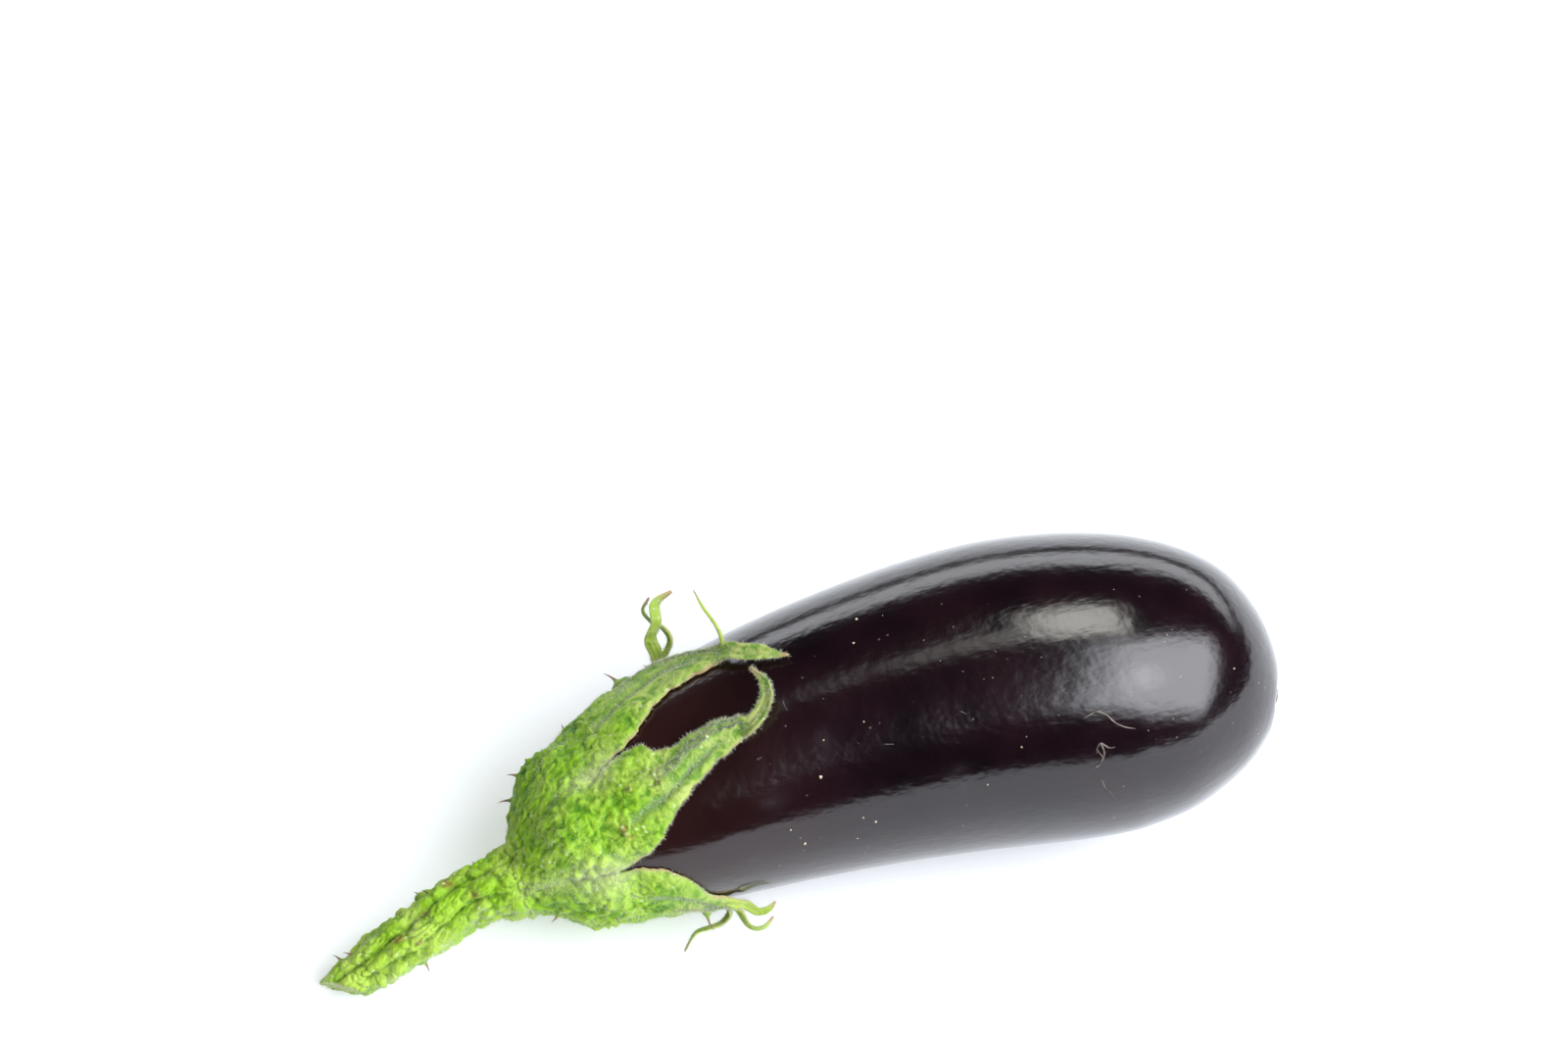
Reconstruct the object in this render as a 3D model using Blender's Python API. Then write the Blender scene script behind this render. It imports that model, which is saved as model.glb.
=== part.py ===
"""An eggplant as picked, lying on its side: fruit, calyx, stalk and prickles.

Metres, +Z up. The origin is the middle of the flat spot that the fruit rests on, and +X runs
from the stalk to the blossom end. Places on the fruit are given as reach (distance over the
skin from the neck's pole), around (angle from the top, positive towards -Y) and lift (height
above the skin).
"""
import math

import bpy
import numpy as np
from mathutils import Matrix, Vector
from mathutils.bvhtree import BVHTree

MM = 0.001

# Fruit: overall sizes
FRUIT_LENGTH = 188 * MM
BELLY_RADIUS = 39.5 * MM
SIDE_BOW = 14.6 * MM        # how far the middle of the fruit bows towards +Y
NOSE_RISE = 18 * MM         # how much higher the blossom end lies than the neck
REST_DEPTH = 1.0 * MM       # how deep the flat spot is pressed into the belly

# Fruit: outline as (share of length, share of belly radius), neck pole to blossom pole
OUTLINE = [(0, 0), (0.013, 0.318), (0.047, 0.509), (0.104, 0.641), (0.187, 0.737), (0.292, 0.820),
           (0.417, 0.897), (0.542, 0.962), (0.656, 1.0), (0.760, 0.987), (0.844, 0.920),
           (0.911, 0.775), (0.961, 0.530), (0.990, 0.260), (1, 0)]
# Fruit: centreline as (share of length, share of side bow)
CENTRELINE = [(0, -0.04), (0.167, 0.48), (0.333, 0.85), (0.5, 1.0), (0.667, 0.93), (0.833, 0.46),
              (1, -0.45)]

# Calyx
CLEARANCE = 0.3 * MM        # gap that touching pieces keep
HUG_LIFT = 0.7 * MM         # inner face of the calyx above the skin, clearance and facets together
LOBE_THICKNESS = 1.4 * MM
MARGIN_SHARE = 0.65         # thickness left at a lobe's margin
SHOULDER_SWELL = 4.8 * MM   # extra thickness of the fleshy cup round the stalk
SWELL_START = 15 * MM       # reach where the swell begins to fade
SWELL_END = 32 * MM         # reach where it is gone
VALLEY_RISE = 1.1           # how early the valleys between the lobes begin on the cup
NOTCH_BULGE = 3.5 * MM      # how far the middle of a lobe's root lies beyond its notches
CUP_TOP_REACH = 9.5 * MM    # reach of the cup's outer face where it meets the stalk
CUP_EYE_SHARE = 0.25        # first ring of the inner face, as a share of the outer face's reach
JOINT_SPREAD = 2.2          # how soon the outer face leaves the stalk's round joint
TENDRIL_THICKNESS = 0.9 * MM

# Stalk
STALK_RUN = 51.5 * MM        # level distance from the calyx to the cut end
STALK_SWING = 12 * MM       # how far the cut end swings towards -Y
STALK_BASE_RADIUS = 9.4 * MM
STALK_END_RADIUS = 4.9 * MM
STALK_END_GAP = 0.8 * MM    # gap between the cut end and the surface that the fruit lies on
STALK_OFFSET = (-8.0 * MM, -5.0 * MM, -1.0 * MM)    # joint from the neck's pole
CUT_SLANT = math.radians(40)
# Stalk: route as (share of run, share of swing, share of drop)
STALK_ROUTE = [(0, 0, 0), (0.15, 0.04, 0.09), (0.28, 0.08, 0.20), (0.41, 0.25, 0.34),
               (0.55, 0.40, 0.50), (0.71, 0.55, 0.68), (0.86, 0.77, 0.86), (1, 1, 1)]
# Stalk: girth as (share of route, share of the way from end radius to base radius)
STALK_GIRTH = [(0, 1), (0.08, 0.70), (0.2, 0.50), (0.4, 0.40), (0.65, 0.28), (0.85, 0.07), (1, 0)]

# Prickles
PRICKLE_BASE_RADIUS = 0.75 * MM
PRICKLE_LENGTH = 4.2 * MM   # of a full-grown prickle
PRICKLE_SIDES = 8
# Prickle: rings as (share of height, share of base radius, hook as share of height)
PRICKLE_RINGS = [(0.0, 1.0, 0.0), (0.22, 0.55, 0.01), (0.5, 0.34, 0.05), (0.78, 0.18, 0.13)]
PRICKLE_TIP_HOOK = 0.24

# Mesh density
SKIN_RINGS = 44
SKIN_SIDES = 48
LOBE_COLUMNS = 6
CUP_RINGS = 6
STALK_RINGS = 16
TABLE_STEPS = 24
STALK_STATIONS = 101        # stations that a prickle's place on the stalk is read from
SEARCH_HEIGHT = 40 * MM     # height from which the surface under a prickle is looked for

# The six notches between the lobes as (reach mm, around degrees)
NOTCHES = [(31, -63), (32.5, 1), (26.4, 61), (27, 124), (28, 184), (27, 242)]

# Lobe margins: rows of (reach mm, around degrees) for the left and the right margin, from just
# past the notches to where the tip leaves the skin.
# Tips: (first column, last column, thickness share, stations of (reach mm, around degrees,
# lift mm, half width mm)).
LOBES = {
    "upper": {
        "left": [(37, -62), (43, -62), (49, -61.5), (55, -59), (60, -52), (65, -41), (70.5, -30.5)],
        "right": [(37.5, -2.5), (44, -6.5), (46.5, -10.5), (51.5, -17), (56.5, -20.5), (62.5, -21),
                  (69, -20.5)],
        "tips": [
            (0, 1, 0.6, [(72.4, -23.5, 4, 0.5), (73.1, -25, 8.5, 0.35), (72.3, -28, 14.2, 0.3),
                         (72.2, -30.3, 18.6, 0.2)]),
            (1, 6, 1.0, [(73, -20, 3.2, 2.8), (76, -15.5, 3.0, 2.6), (79.5, -12, 2.6, 2.4),
                         (82.5, -8.5, 2.0, 1.3), (85.5, -6, 1.6, 0.3)]),
        ],
    },
    "front": {
        "left": [(38.5, -1), (44, -0.5), (46.5, 6), (51, 9), (56, 7.5), (62.5, 7.5), (69, 10.5)],
        "right": [(33, 56), (39, 50), (41.5, 45), (46, 38), (52, 31), (59, 25), (67, 20.5)],
        "tips": [
            (0, 6, 1.0, [(70.5, 16.8, 3.2, 2.3), (74, 14.5, 4.2, 2.1), (77, 10.5, 5.8, 1.9),
                         (77.8, 6, 8.0, 1.4), (76, 1.5, 10.8, 0.4)]),
        ],
    },
    "near": {
        "left": [(31.5, 61.5), (36, 65), (39.5, 70.5), (44, 83), (46.5, 95), (50.5, 103.5)],
        "right": [(32, 124), (36, 124), (39.5, 124), (43.5, 124), (47, 123.5), (50.8, 119)],
        "tips": [
            (0, 2, 0.8, [(53.2, 109.5, 2.4, 1.0), (55.5, 114.5, 2.6, 0.9), (58.3, 116.5, 5.0, 0.8),
                         (61.2, 116, 5.0, 0.7), (63.5, 115, 3.6, 0.3)]),
            (2, 4, 0.8, [(53.6, 116.5, 3.6, 1.0), (55.2, 117.3, 7.6, 0.9), (57.1, 117.2, 9.1, 0.8),
                         (59.4, 116.7, 9.0, 0.7), (62, 115.7, 7.2, 0.3)]),
            (4, 6, 0.8, [(51.4, 119.8, 4.0, 1.1), (49, 120.8, 6.0, 1.0), (45.5, 120.3, 6.5, 0.9),
                         (41.8, 121.2, 7.2, 0.7), (38.6, 122.6, 11.2, 0.3)]),
        ],
    },
    "under_near": {
        "left": [(33, 128), (39, 134), (45, 141), (51, 147), (57, 151)],
        "right": [(33.5, 181), (39, 177), (45, 172), (51, 167), (57, 163)],
        "tips": [
            (0, 6, 1.0, [(60.5, 157, 1.7, 2.2), (64.5, 156, 1.8, 1.5), (68.5, 154, 2.0, 0.4)]),
        ],
    },
    "under_far": {
        "left": [(33.5, 187), (39, 191), (45, 197), (51, 202), (57, 206)],
        "right": [(33, 240), (39, 237), (45, 232), (51, 226), (57, 220)],
        "tips": [
            (0, 6, 1.0, [(61, 213.5, 1.8, 2.3), (65.5, 215, 2.4, 1.6), (70, 218, 3.6, 0.4)]),
        ],
    },
    "far": {
        "left": [(33, 244), (39, 248), (45, 256), (51, 268), (57, 281)],
        "right": [(37, 296), (42.5, 295.5), (48, 294), (53, 293), (58, 292.5)],
        "tips": [
            (0, 3, 0.8, [(60, 288.5, 4.2, 1.4), (60.5, 294, 8.3, 1.4), (63.3, 299, 10.9, 1.3),
                         (65.1, 301, 15.1, 1.2), (69.4, 302, 15.9, 0.4)]),
            (3, 6, 0.8, [(61.5, 291.5, 3.2, 1.1), (64.2, 294, 5.6, 1.0), (64.2, 295, 9.1, 0.9),
                         (62.7, 295.1, 11.9, 0.8), (62.2, 296.1, 15.5, 0.7), (64.8, 297.1, 17.7, 0.3)]),
        ],
    },
}

# Prickles on the calyx: (reach mm, around degrees, share of full length, hook: 1 to the tip of
# the lobe, -1 to the stalk)
CALYX_PRICKLES = [(18, -48, 0.7, -1), (13.5, -66, 0.9, -1), (48, -59, 1.15, -1),
                  (37.7, 19, 0.5, 1), (45, 23, 0.5, -1), (32.3, 38.5, 0.8, 1),
                  (45.5, 115, 1.1, 1), (13, 100, 0.6, -1), (24, 92, 0.5, 1),
                  (34, 270, 1.0, 1), (22, 232, 0.9, -1), (40, 224, 0.8, 1)]
# Prickles on the stalk, all hooked to its cut end: (share of route, around degrees, share of
# full length)
STALK_PRICKLES = [(0.16, -60, 0.5), (0.37, -55, 0.75), (0.43, -80, 0.65), (0.80, -50, 0.85),
                  (0.87, -80, 0.7), (0.56, 118, 0.85), (0.24, 150, 0.5), (0.63, 200, 0.7)]


def clear_scene():
    """Remove every object that the scene starts with."""
    for item in list(bpy.data.objects):
        bpy.data.objects.remove(item, do_unlink=True)


def smooth(points, per_span, before=None, after=None):
    """Catmull-Rom curve through the points; before and after steer its ends."""
    knots = np.array(points, dtype=float)
    first = 2 * knots[0] - knots[1] if before is None else np.array(before, dtype=float)
    last = 2 * knots[-1] - knots[-2] if after is None else np.array(after, dtype=float)
    knots = np.vstack([first, knots, last])
    rows = []
    for i in range(1, len(knots) - 2):
        for step in range(per_span):
            t = step / per_span
            a, b, c, d = knots[i - 1:i + 3]
            rows.append(b + 0.5 * t * (c - a + t * (2 * a - 5 * b + 4 * c - d
                                                   + t * (3 * (b - c) + d - a))))
    rows.append(knots[-2])
    return np.array(rows)


def fruit_outline():
    """Rows of distance along the axis, radius and reach over the skin."""
    mirrored_start = (OUTLINE[1][0], -OUTLINE[1][1])
    mirrored_end = (OUTLINE[-2][0], -OUTLINE[-2][1])
    rows = smooth(OUTLINE, TABLE_STEPS, mirrored_start, mirrored_end)
    rows = rows * (FRUIT_LENGTH, BELLY_RADIUS)
    steps = np.linalg.norm(np.diff(rows, axis=0), axis=1)
    reach = np.concatenate([[0.0], np.cumsum(steps)])
    return np.column_stack([rows, reach])


def fruit_centreline():
    """Points of the fruit's centreline, before it is set down on its flat spot."""
    rows = smooth(CENTRELINE, TABLE_STEPS)
    along = rows[:, 0] * FRUIT_LENGTH
    height = rows[:, 0] * NOSE_RISE
    return np.column_stack([along, rows[:, 1] * SIDE_BOW, height])


PROFILE = fruit_outline()
PROFILE_SLOPE = np.gradient(PROFILE[:, :2], PROFILE[:, 2], axis=0)
SKIN_REACH = PROFILE[-1, 2]
SPINE = fruit_centreline()
SPINE_ALONG = SPINE[:, 0].copy()
SPINE_DIRECTION = np.gradient(SPINE, SPINE_ALONG, axis=0)


def table_row(where, keys, table):
    """Linear reading of a table with several columns."""
    columns = [np.interp(where, keys, table[:, k]) for k in range(table.shape[1])]
    return np.stack(columns, axis=-1)


def unit(vectors):
    """Vectors scaled to length one."""
    vectors = np.asarray(vectors, dtype=float)
    return vectors / np.linalg.norm(vectors, axis=-1, keepdims=True)


def spine_frame(along):
    """Centre, forward, side (towards -Y) and up directions of the fruit's cross-section."""
    centre = table_row(along, SPINE_ALONG, SPINE)
    forward = unit(table_row(along, SPINE_ALONG, SPINE_DIRECTION))
    side = unit(np.cross(forward, np.array([0.0, 0.0, 1.0])))
    up = np.cross(side, forward)
    return centre, forward, side, up


def skin(reach, around, lift=0.0):
    """Points over the fruit's skin, from reach, angle in degrees and lift."""
    reach, around, lift = np.broadcast_arrays(reach, np.radians(around), lift)
    outline = table_row(reach, PROFILE[:, 2], PROFILE[:, :2])
    slope = unit(table_row(reach, PROFILE[:, 2], PROFILE_SLOPE))
    centre, forward, side, up = spine_frame(outline[..., 0])
    outward = up * np.cos(around)[..., None] + side * np.sin(around)[..., None]
    normal = outward * slope[..., :1] - forward * slope[..., 1:]
    return centre + outward * outline[..., 1:] + normal * np.asarray(lift)[..., None]


def set_down():
    """Move the centreline so that the lowest skin lies a little under the origin."""
    underside = skin(PROFILE[:, 2], 180.0)
    lowest = underside[np.argmin(underside[:, 2])]
    SPINE[:] = SPINE - lowest
    SPINE[:, 2] -= REST_DEPTH


def material(name, colour, roughness):
    """Plain surface in one colour."""
    made = bpy.data.materials.new(name)
    made.use_nodes = True
    shader = made.node_tree.nodes["Principled BSDF"]
    shader.inputs["Base Color"].default_value = (*colour, 1.0)
    shader.inputs["Roughness"].default_value = roughness
    shader.inputs["Metallic"].default_value = 0.0
    return made


def add_object(name, points, faces, surface):
    """One named object from points and faces, shaded smooth."""
    mesh = bpy.data.meshes.new(name)
    mesh.from_pydata([tuple(point) for point in points], [], faces)
    mesh.materials.append(surface)
    mesh.shade_smooth()
    piece = bpy.data.objects.new(name, mesh)
    bpy.context.scene.collection.objects.link(piece)
    return piece


def ring_faces(first, second):
    """Quads between two closed rings of point numbers."""
    count = len(first)
    return [(first[k], second[k], second[(k + 1) % count], first[(k + 1) % count])
            for k in range(count)]


def fan_faces(ring, centre):
    """Triangles from a closed ring of point numbers to one centre point."""
    count = len(ring)
    return [(ring[k], ring[(k + 1) % count], centre) for k in range(count)]


def add_fruit(surface):
    """The fruit: one solid turned along its bowed centreline, pressed flat where it rests."""
    angles = np.arange(SKIN_SIDES) * 360.0 / SKIN_SIDES
    points = []
    rings = []
    for step in range(1, SKIN_RINGS):
        start = len(points)
        points.extend(skin(SKIN_REACH * step / SKIN_RINGS, angles))
        rings.append(list(range(start, start + SKIN_SIDES)))
    points.append(skin(0.0, 0.0))
    points.append(skin(SKIN_REACH, 0.0))
    neck_pole = len(points) - 2
    nose_pole = len(points) - 1
    faces = []
    for first, second in zip(rings[:-1], rings[1:]):
        faces.extend(ring_faces(second, first))
    faces.extend(fan_faces(rings[0][::-1], neck_pole))
    faces.extend(fan_faces(rings[-1], nose_pole))
    points = [(x, y, max(z, 0.0)) for x, y, z in points]
    return add_object("fruit", points, faces, surface)


def stalk_route():
    """Centre points of the stalk, from the calyx to the cut end just above the surface."""
    joint = skin(0.0, 0.0) + np.array(STALK_OFFSET)
    drop = joint[2] - STALK_END_RADIUS - STALK_END_GAP
    shares = smooth(STALK_ROUTE, TABLE_STEPS)
    offsets = shares * (-STALK_RUN, -STALK_SWING, -drop)
    return joint + offsets


def stalk_frames(count):
    """Centre, direction, two cross directions and radius at evenly spaced stations."""
    route = stalk_route()
    steps = np.linalg.norm(np.diff(route, axis=0), axis=1)
    travel = np.concatenate([[0.0], np.cumsum(steps)])
    share = travel / travel[-1]
    wanted = np.linspace(0.0, 1.0, count)
    centres = table_row(wanted, share, route)
    directions = unit(table_row(wanted, share, np.gradient(route, travel, axis=0)))
    girth = np.array(STALK_GIRTH)
    swell = np.interp(wanted, girth[:, 0], girth[:, 1])
    radii = STALK_END_RADIUS + (STALK_BASE_RADIUS - STALK_END_RADIUS) * swell
    side = unit(np.cross(-directions, np.array([0.0, 0.0, 1.0])))
    up = np.cross(side, -directions)
    return centres, directions, side, up, radii


def stalk_ring(centre, side, up, radius, angles):
    """Points of one round cross-section of the stalk."""
    turn = np.radians(angles)[:, None]
    return centre + radius * (up * np.cos(turn) + side * np.sin(turn))


def add_stalk(surface):
    """The stalk: a tapering stem from the calyx to its slanting cut."""
    centres, directions, side, up, radii = stalk_frames(STALK_RINGS)
    sides = LOBE_COLUMNS * len(LOBES)
    angles = np.arange(sides) * 360.0 / sides
    centres[0] = centres[0] + directions[0] * CLEARANCE
    points = []
    rings = []
    for k in range(STALK_RINGS):
        ring = stalk_ring(centres[k], side[k], up[k], radii[k], angles)
        if k == STALK_RINGS - 1:
            sideways = (ring - centres[k]) @ side[k]
            ring = ring - directions[k] * (math.tan(CUT_SLANT) * (sideways + radii[k]))[:, None]
        rings.append(list(range(len(points), len(points) + sides)))
        points.extend(ring)
    points.append(centres[0])
    points.append(np.mean(points[rings[-1][0]:rings[-1][-1] + 1], axis=0))
    faces = []
    for first, second in zip(rings[:-1], rings[1:]):
        faces.extend(ring_faces(first, second))
    faces.extend(fan_faces(rings[0], len(points) - 2))
    faces.extend(fan_faces(rings[-1][::-1], len(points) - 1))
    return add_object("stem", points, faces, surface)


class Sheet:
    """A leafy sheet of two layers, built from rows of outer and inner points."""

    def __init__(self):
        self.points = []
        self.faces = []

    def add_row(self, outer, inner):
        """Store one row and return the numbers of its outer and inner points."""
        start = len(self.points)
        self.points.extend(outer)
        self.points.extend(inner)
        count = len(outer)
        return list(range(start, start + count)), list(range(start + count, start + 2 * count))

    def add_ring_band(self, first, second):
        """Join two closed rows, outer layer and inner layer."""
        self.faces.extend(ring_faces(second[0], first[0]))
        self.faces.extend(ring_faces(first[1], second[1]))

    def add_strip(self, root, rows):
        """Grow a strip from a root row through further rows and return its open end."""
        last = root
        for outer, inner in rows:
            new = self.add_row(outer, inner)
            for k in range(len(outer) - 1):
                self.faces.append((last[0][k], last[0][k + 1], new[0][k + 1], new[0][k]))
                self.faces.append((last[1][k], new[1][k], new[1][k + 1], last[1][k + 1]))
            self.faces.append((last[0][0], new[0][0], new[1][0], last[1][0]))
            self.faces.append((last[0][-1], last[1][-1], new[1][-1], new[0][-1]))
            last = new
        return last

    def close_strip(self, last):
        """Close the open end of a strip."""
        for k in range(len(last[0]) - 1):
            self.faces.append((last[0][k], last[0][k + 1], last[1][k + 1], last[1][k]))


def ease(share):
    """Smooth step from 0 to 1."""
    share = np.clip(share, 0.0, 1.0)
    return share * share * (3 - 2 * share)


def outer_lift(reach, body):
    """Height of the calyx's outer face above the skin; body is 1 inside a lobe, 0 at its margin."""
    swell = SHOULDER_SWELL * (1 - ease((reach - SWELL_START) / (SWELL_END - SWELL_START)))
    thickness = LOBE_THICKNESS * (MARGIN_SHARE + (1 - MARGIN_SHARE) * body)
    return HUG_LIFT + thickness + swell * body


def lobe_body(share):
    """How far a column lies from its lobe's margins: 0 at a margin, 1 along the middle."""
    return 1 - np.abs(2 * share - 1) ** 3


def rim_row(lobe_number):
    """Reach and angle of the columns across the root of one lobe."""
    start = NOTCHES[lobe_number]
    end = NOTCHES[(lobe_number + 1) % len(NOTCHES)]
    turn = (end[1] - start[1]) % 360
    share = np.linspace(0.0, 1.0, LOBE_COLUMNS + 1)
    bulge = NOTCH_BULGE * np.sin(math.pi * share)
    reach = (start[0] + (end[0] - start[0]) * share) * MM + bulge
    return reach, start[1] + turn * share


def cup_rows(sheet):
    """The closed cup of the calyx, from the stalk's joint to the roots of the lobes."""
    rim_reach = []
    rim_around = []
    for number in range(len(NOTCHES)):
        reach, around = rim_row(number)
        rim_reach.extend(reach[:-1])
        rim_around.extend(around[:-1])
    rim_reach = np.array(rim_reach)
    rim_around = np.array(rim_around)
    columns = len(rim_reach)
    even_around = rim_around[0] + np.arange(columns) * 360.0 / columns
    body = lobe_body(np.arange(columns) % LOBE_COLUMNS / LOBE_COLUMNS)
    centres, directions, side, up, radii = stalk_frames(STALK_RINGS)
    joint = stalk_ring(centres[0], side[0], up[0], radii[0], even_around)
    rows = []
    for k in range(CUP_RINGS + 1):
        share = k / CUP_RINGS
        reach = CUP_TOP_REACH + (rim_reach - CUP_TOP_REACH) * share
        around = even_around + (rim_around - even_around) * share
        thick = 1 - (1 - body) * ease(share * VALLEY_RISE)
        resting = skin(reach, around, outer_lift(reach, thick))
        outer = joint + (resting - joint) * ease(share * JOINT_SPREAD)
        inner = skin(reach * (CUP_EYE_SHARE + (1 - CUP_EYE_SHARE) * share), around, HUG_LIFT)
        rows.append(sheet.add_row(outer, inner))
    for first, second in zip(rows[:-1], rows[1:]):
        sheet.add_ring_band(first, second)
    sheet.points.append(centres[0])
    sheet.points.append(skin(0.0, 0.0, HUG_LIFT))
    sheet.faces.extend(fan_faces(rows[0][0][::-1], len(sheet.points) - 2))
    sheet.faces.extend(fan_faces(rows[0][1], len(sheet.points) - 1))
    return rows[-1]


def lobe_rows(lobe):
    """Rows of a lobe where it lies on the skin."""
    left = smooth(lobe["left"], 2)
    right = smooth(lobe["right"], 2)
    share = np.linspace(0.0, 1.0, LOBE_COLUMNS + 1)
    rows = []
    for start, end in zip(left, right):
        reach = (start[0] + (end[0] - start[0]) * share) * MM
        around = start[1] + (end[1] - start[1]) * share
        outer = skin(reach, around, outer_lift(reach, lobe_body(share)))
        rows.append((outer, skin(reach, around, HUG_LIFT)))
    return rows


def tip_rows(root_outer, root_inner, tip, columns):
    """Middle points and downward direction of each row of a tip or tendril off the skin."""
    stations = np.array(tip)
    path = skin(stations[:, 0] * MM, stations[:, 1], stations[:, 2] * MM)
    start = (root_outer.mean(axis=0) + root_inner.mean(axis=0)) / 2
    half = np.concatenate([[np.linalg.norm(root_outer[-1] - root_outer[0]) / 2],
                           stations[:, 3] * MM])
    line = smooth(np.column_stack([np.vstack([start, path]), half]), 2)
    across = unit(root_outer[-1] - root_outer[0])
    share = np.linspace(-1.0, 1.0, columns + 1)
    rows = []
    for k in range(1, len(line)):
        forward = unit(line[min(k + 1, len(line) - 1), :3] - line[k - 1, :3])
        across = unit(across - forward * (across @ forward))
        below = np.cross(forward, across)
        middle = line[k, :3] + across * (share * line[k, 3])[:, None]
        rows.append((middle, below))
    return rows


def add_calyx(surface):
    """The calyx: a fleshy cup with six pointed lobes, some of them split into tendrils."""
    sheet = Sheet()
    rim = cup_rows(sheet)
    columns = LOBE_COLUMNS * len(LOBES)
    for number, lobe in enumerate(LOBES.values()):
        chosen = [(number * LOBE_COLUMNS + k) % columns for k in range(LOBE_COLUMNS + 1)]
        root = ([rim[0][k] for k in chosen], [rim[1][k] for k in chosen])
        last = sheet.add_strip(root, lobe_rows(lobe))
        for first, end, thickness, tip in lobe["tips"]:
            part = (last[0][first:end + 1], last[1][first:end + 1])
            outer = np.array([sheet.points[k] for k in part[0]])
            inner = np.array([sheet.points[k] for k in part[1]])
            half_thick = TENDRIL_THICKNESS * thickness / 2
            tip_points = [(middle - below * half_thick, middle + below * half_thick)
                          for middle, below in tip_rows(outer, inner, tip, end - first)]
            sheet.close_strip(sheet.add_strip(part, tip_points))
    return add_object("calyx", sheet.points, sheet.faces, surface)


def prickle_mesh(length):
    """A prickle: a thin hooked cone that grows along its own +Z."""
    points = []
    rings = []
    for height, width, hook in PRICKLE_RINGS:
        rings.append(list(range(len(points), len(points) + PRICKLE_SIDES)))
        for k in range(PRICKLE_SIDES):
            turn = 2 * math.pi * k / PRICKLE_SIDES
            points.append((PRICKLE_BASE_RADIUS * width * math.cos(turn) + hook * length,
                           PRICKLE_BASE_RADIUS * width * math.sin(turn), height * length))
    points.append((0.0, 0.0, 0.0))
    points.append((PRICKLE_TIP_HOOK * length, 0.0, length))
    faces = []
    for first, second in zip(rings[:-1], rings[1:]):
        faces.extend(ring_faces(second, first))
    faces.extend(fan_faces(rings[0][::-1], len(points) - 2))
    faces.extend(fan_faces(rings[-1], len(points) - 1))
    return points, faces


def add_prickle(name, host, start, inward, hook, length, surface):
    """A prickle that stands on its host where the ray from start meets it, hooked one way."""
    tree = BVHTree.FromObject(host, bpy.context.evaluated_depsgraph_get())
    place, normal, _, _ = tree.ray_cast(Vector(start), Vector(inward))
    points, faces = prickle_mesh(length)
    piece = add_object(name, points, faces, surface)
    along = (Vector(hook) - normal * normal.dot(Vector(hook))).normalized()
    turned = Matrix((along, normal.cross(along), normal)).transposed()
    piece.location = place + normal * CLEARANCE
    piece.rotation_euler = turned.to_euler()
    return piece


def add_prickles(calyx, stalk, surface):
    """All prickles, on the calyx and on the stalk."""
    number = 0
    for reach, around, share, hook in CALYX_PRICKLES:
        number += 1
        start = skin(reach * MM, around, SEARCH_HEIGHT)
        place = skin(reach * MM, around)
        forward = unit(skin((reach + 1) * MM, around) - place)
        add_prickle(f"prickle_{number:02d}", calyx, start, unit(place - start), forward * hook,
                    PRICKLE_LENGTH * share, surface)
    centres, directions, side, up, _ = stalk_frames(STALK_STATIONS)
    for place, around, share in STALK_PRICKLES:
        number += 1
        k = round(place * (STALK_STATIONS - 1))
        turn = math.radians(around)
        outward = up[k] * math.cos(turn) + side[k] * math.sin(turn)
        add_prickle(f"prickle_{number:02d}", stalk, centres[k] + outward * SEARCH_HEIGHT, -outward,
                    directions[k], PRICKLE_LENGTH * share, surface)


clear_scene()
set_down()
fruit_skin = material("fruit_skin", (0.018, 0.010, 0.014), 0.18)
calyx_green = material("calyx_green", (0.22, 0.40, 0.06), 0.6)
stem_green = material("stem_green", (0.24, 0.42, 0.05), 0.6)
prickle_brown = material("prickle_brown", (0.16, 0.10, 0.06), 0.5)
add_fruit(fruit_skin)
calyx_piece = add_calyx(calyx_green)
stalk_piece = add_stalk(stem_green)
bpy.context.view_layer.update()
add_prickles(calyx_piece, stalk_piece, prickle_brown)
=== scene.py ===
"""Final meshes and finishes of an eggplant as picked, lying on its side on a plain pale surface."""

import itertools
import math

import bpy
import numpy as np
from mathutils import Matrix, Vector
from mathutils.bvhtree import BVHTree


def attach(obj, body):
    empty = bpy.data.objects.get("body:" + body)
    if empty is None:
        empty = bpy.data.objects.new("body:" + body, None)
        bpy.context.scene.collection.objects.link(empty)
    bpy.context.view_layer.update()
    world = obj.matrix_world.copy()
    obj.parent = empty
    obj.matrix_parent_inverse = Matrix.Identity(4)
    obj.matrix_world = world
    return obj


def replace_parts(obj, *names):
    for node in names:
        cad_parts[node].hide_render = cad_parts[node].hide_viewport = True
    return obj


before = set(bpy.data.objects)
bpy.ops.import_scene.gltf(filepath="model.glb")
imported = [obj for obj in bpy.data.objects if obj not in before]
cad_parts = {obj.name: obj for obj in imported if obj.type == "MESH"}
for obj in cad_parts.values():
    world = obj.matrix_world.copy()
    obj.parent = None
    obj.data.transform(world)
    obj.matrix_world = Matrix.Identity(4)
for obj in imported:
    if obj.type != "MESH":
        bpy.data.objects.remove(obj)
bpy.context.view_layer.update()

# ---------------------------------------------------------------------------------------------
# Fruit. A long berry, heaviest towards the blossom end, under a thin, tough, waxed skin that is
# nearly black. It grew in one piece with the stalk and ends in a small corky blossom scar, and
# it lies on a slightly flattened spot of its belly.
# ---------------------------------------------------------------------------------------------
MM = 0.001                  # sizes are in mm and angles in degrees unless a comment says otherwise
FRUIT_LENGTH = 188.0
BELLY_RADIUS = 39.5
SIDE_BOW = 14.6
NOSE_RISE = 18.0
REST_DEPTH = 1.0
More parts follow.
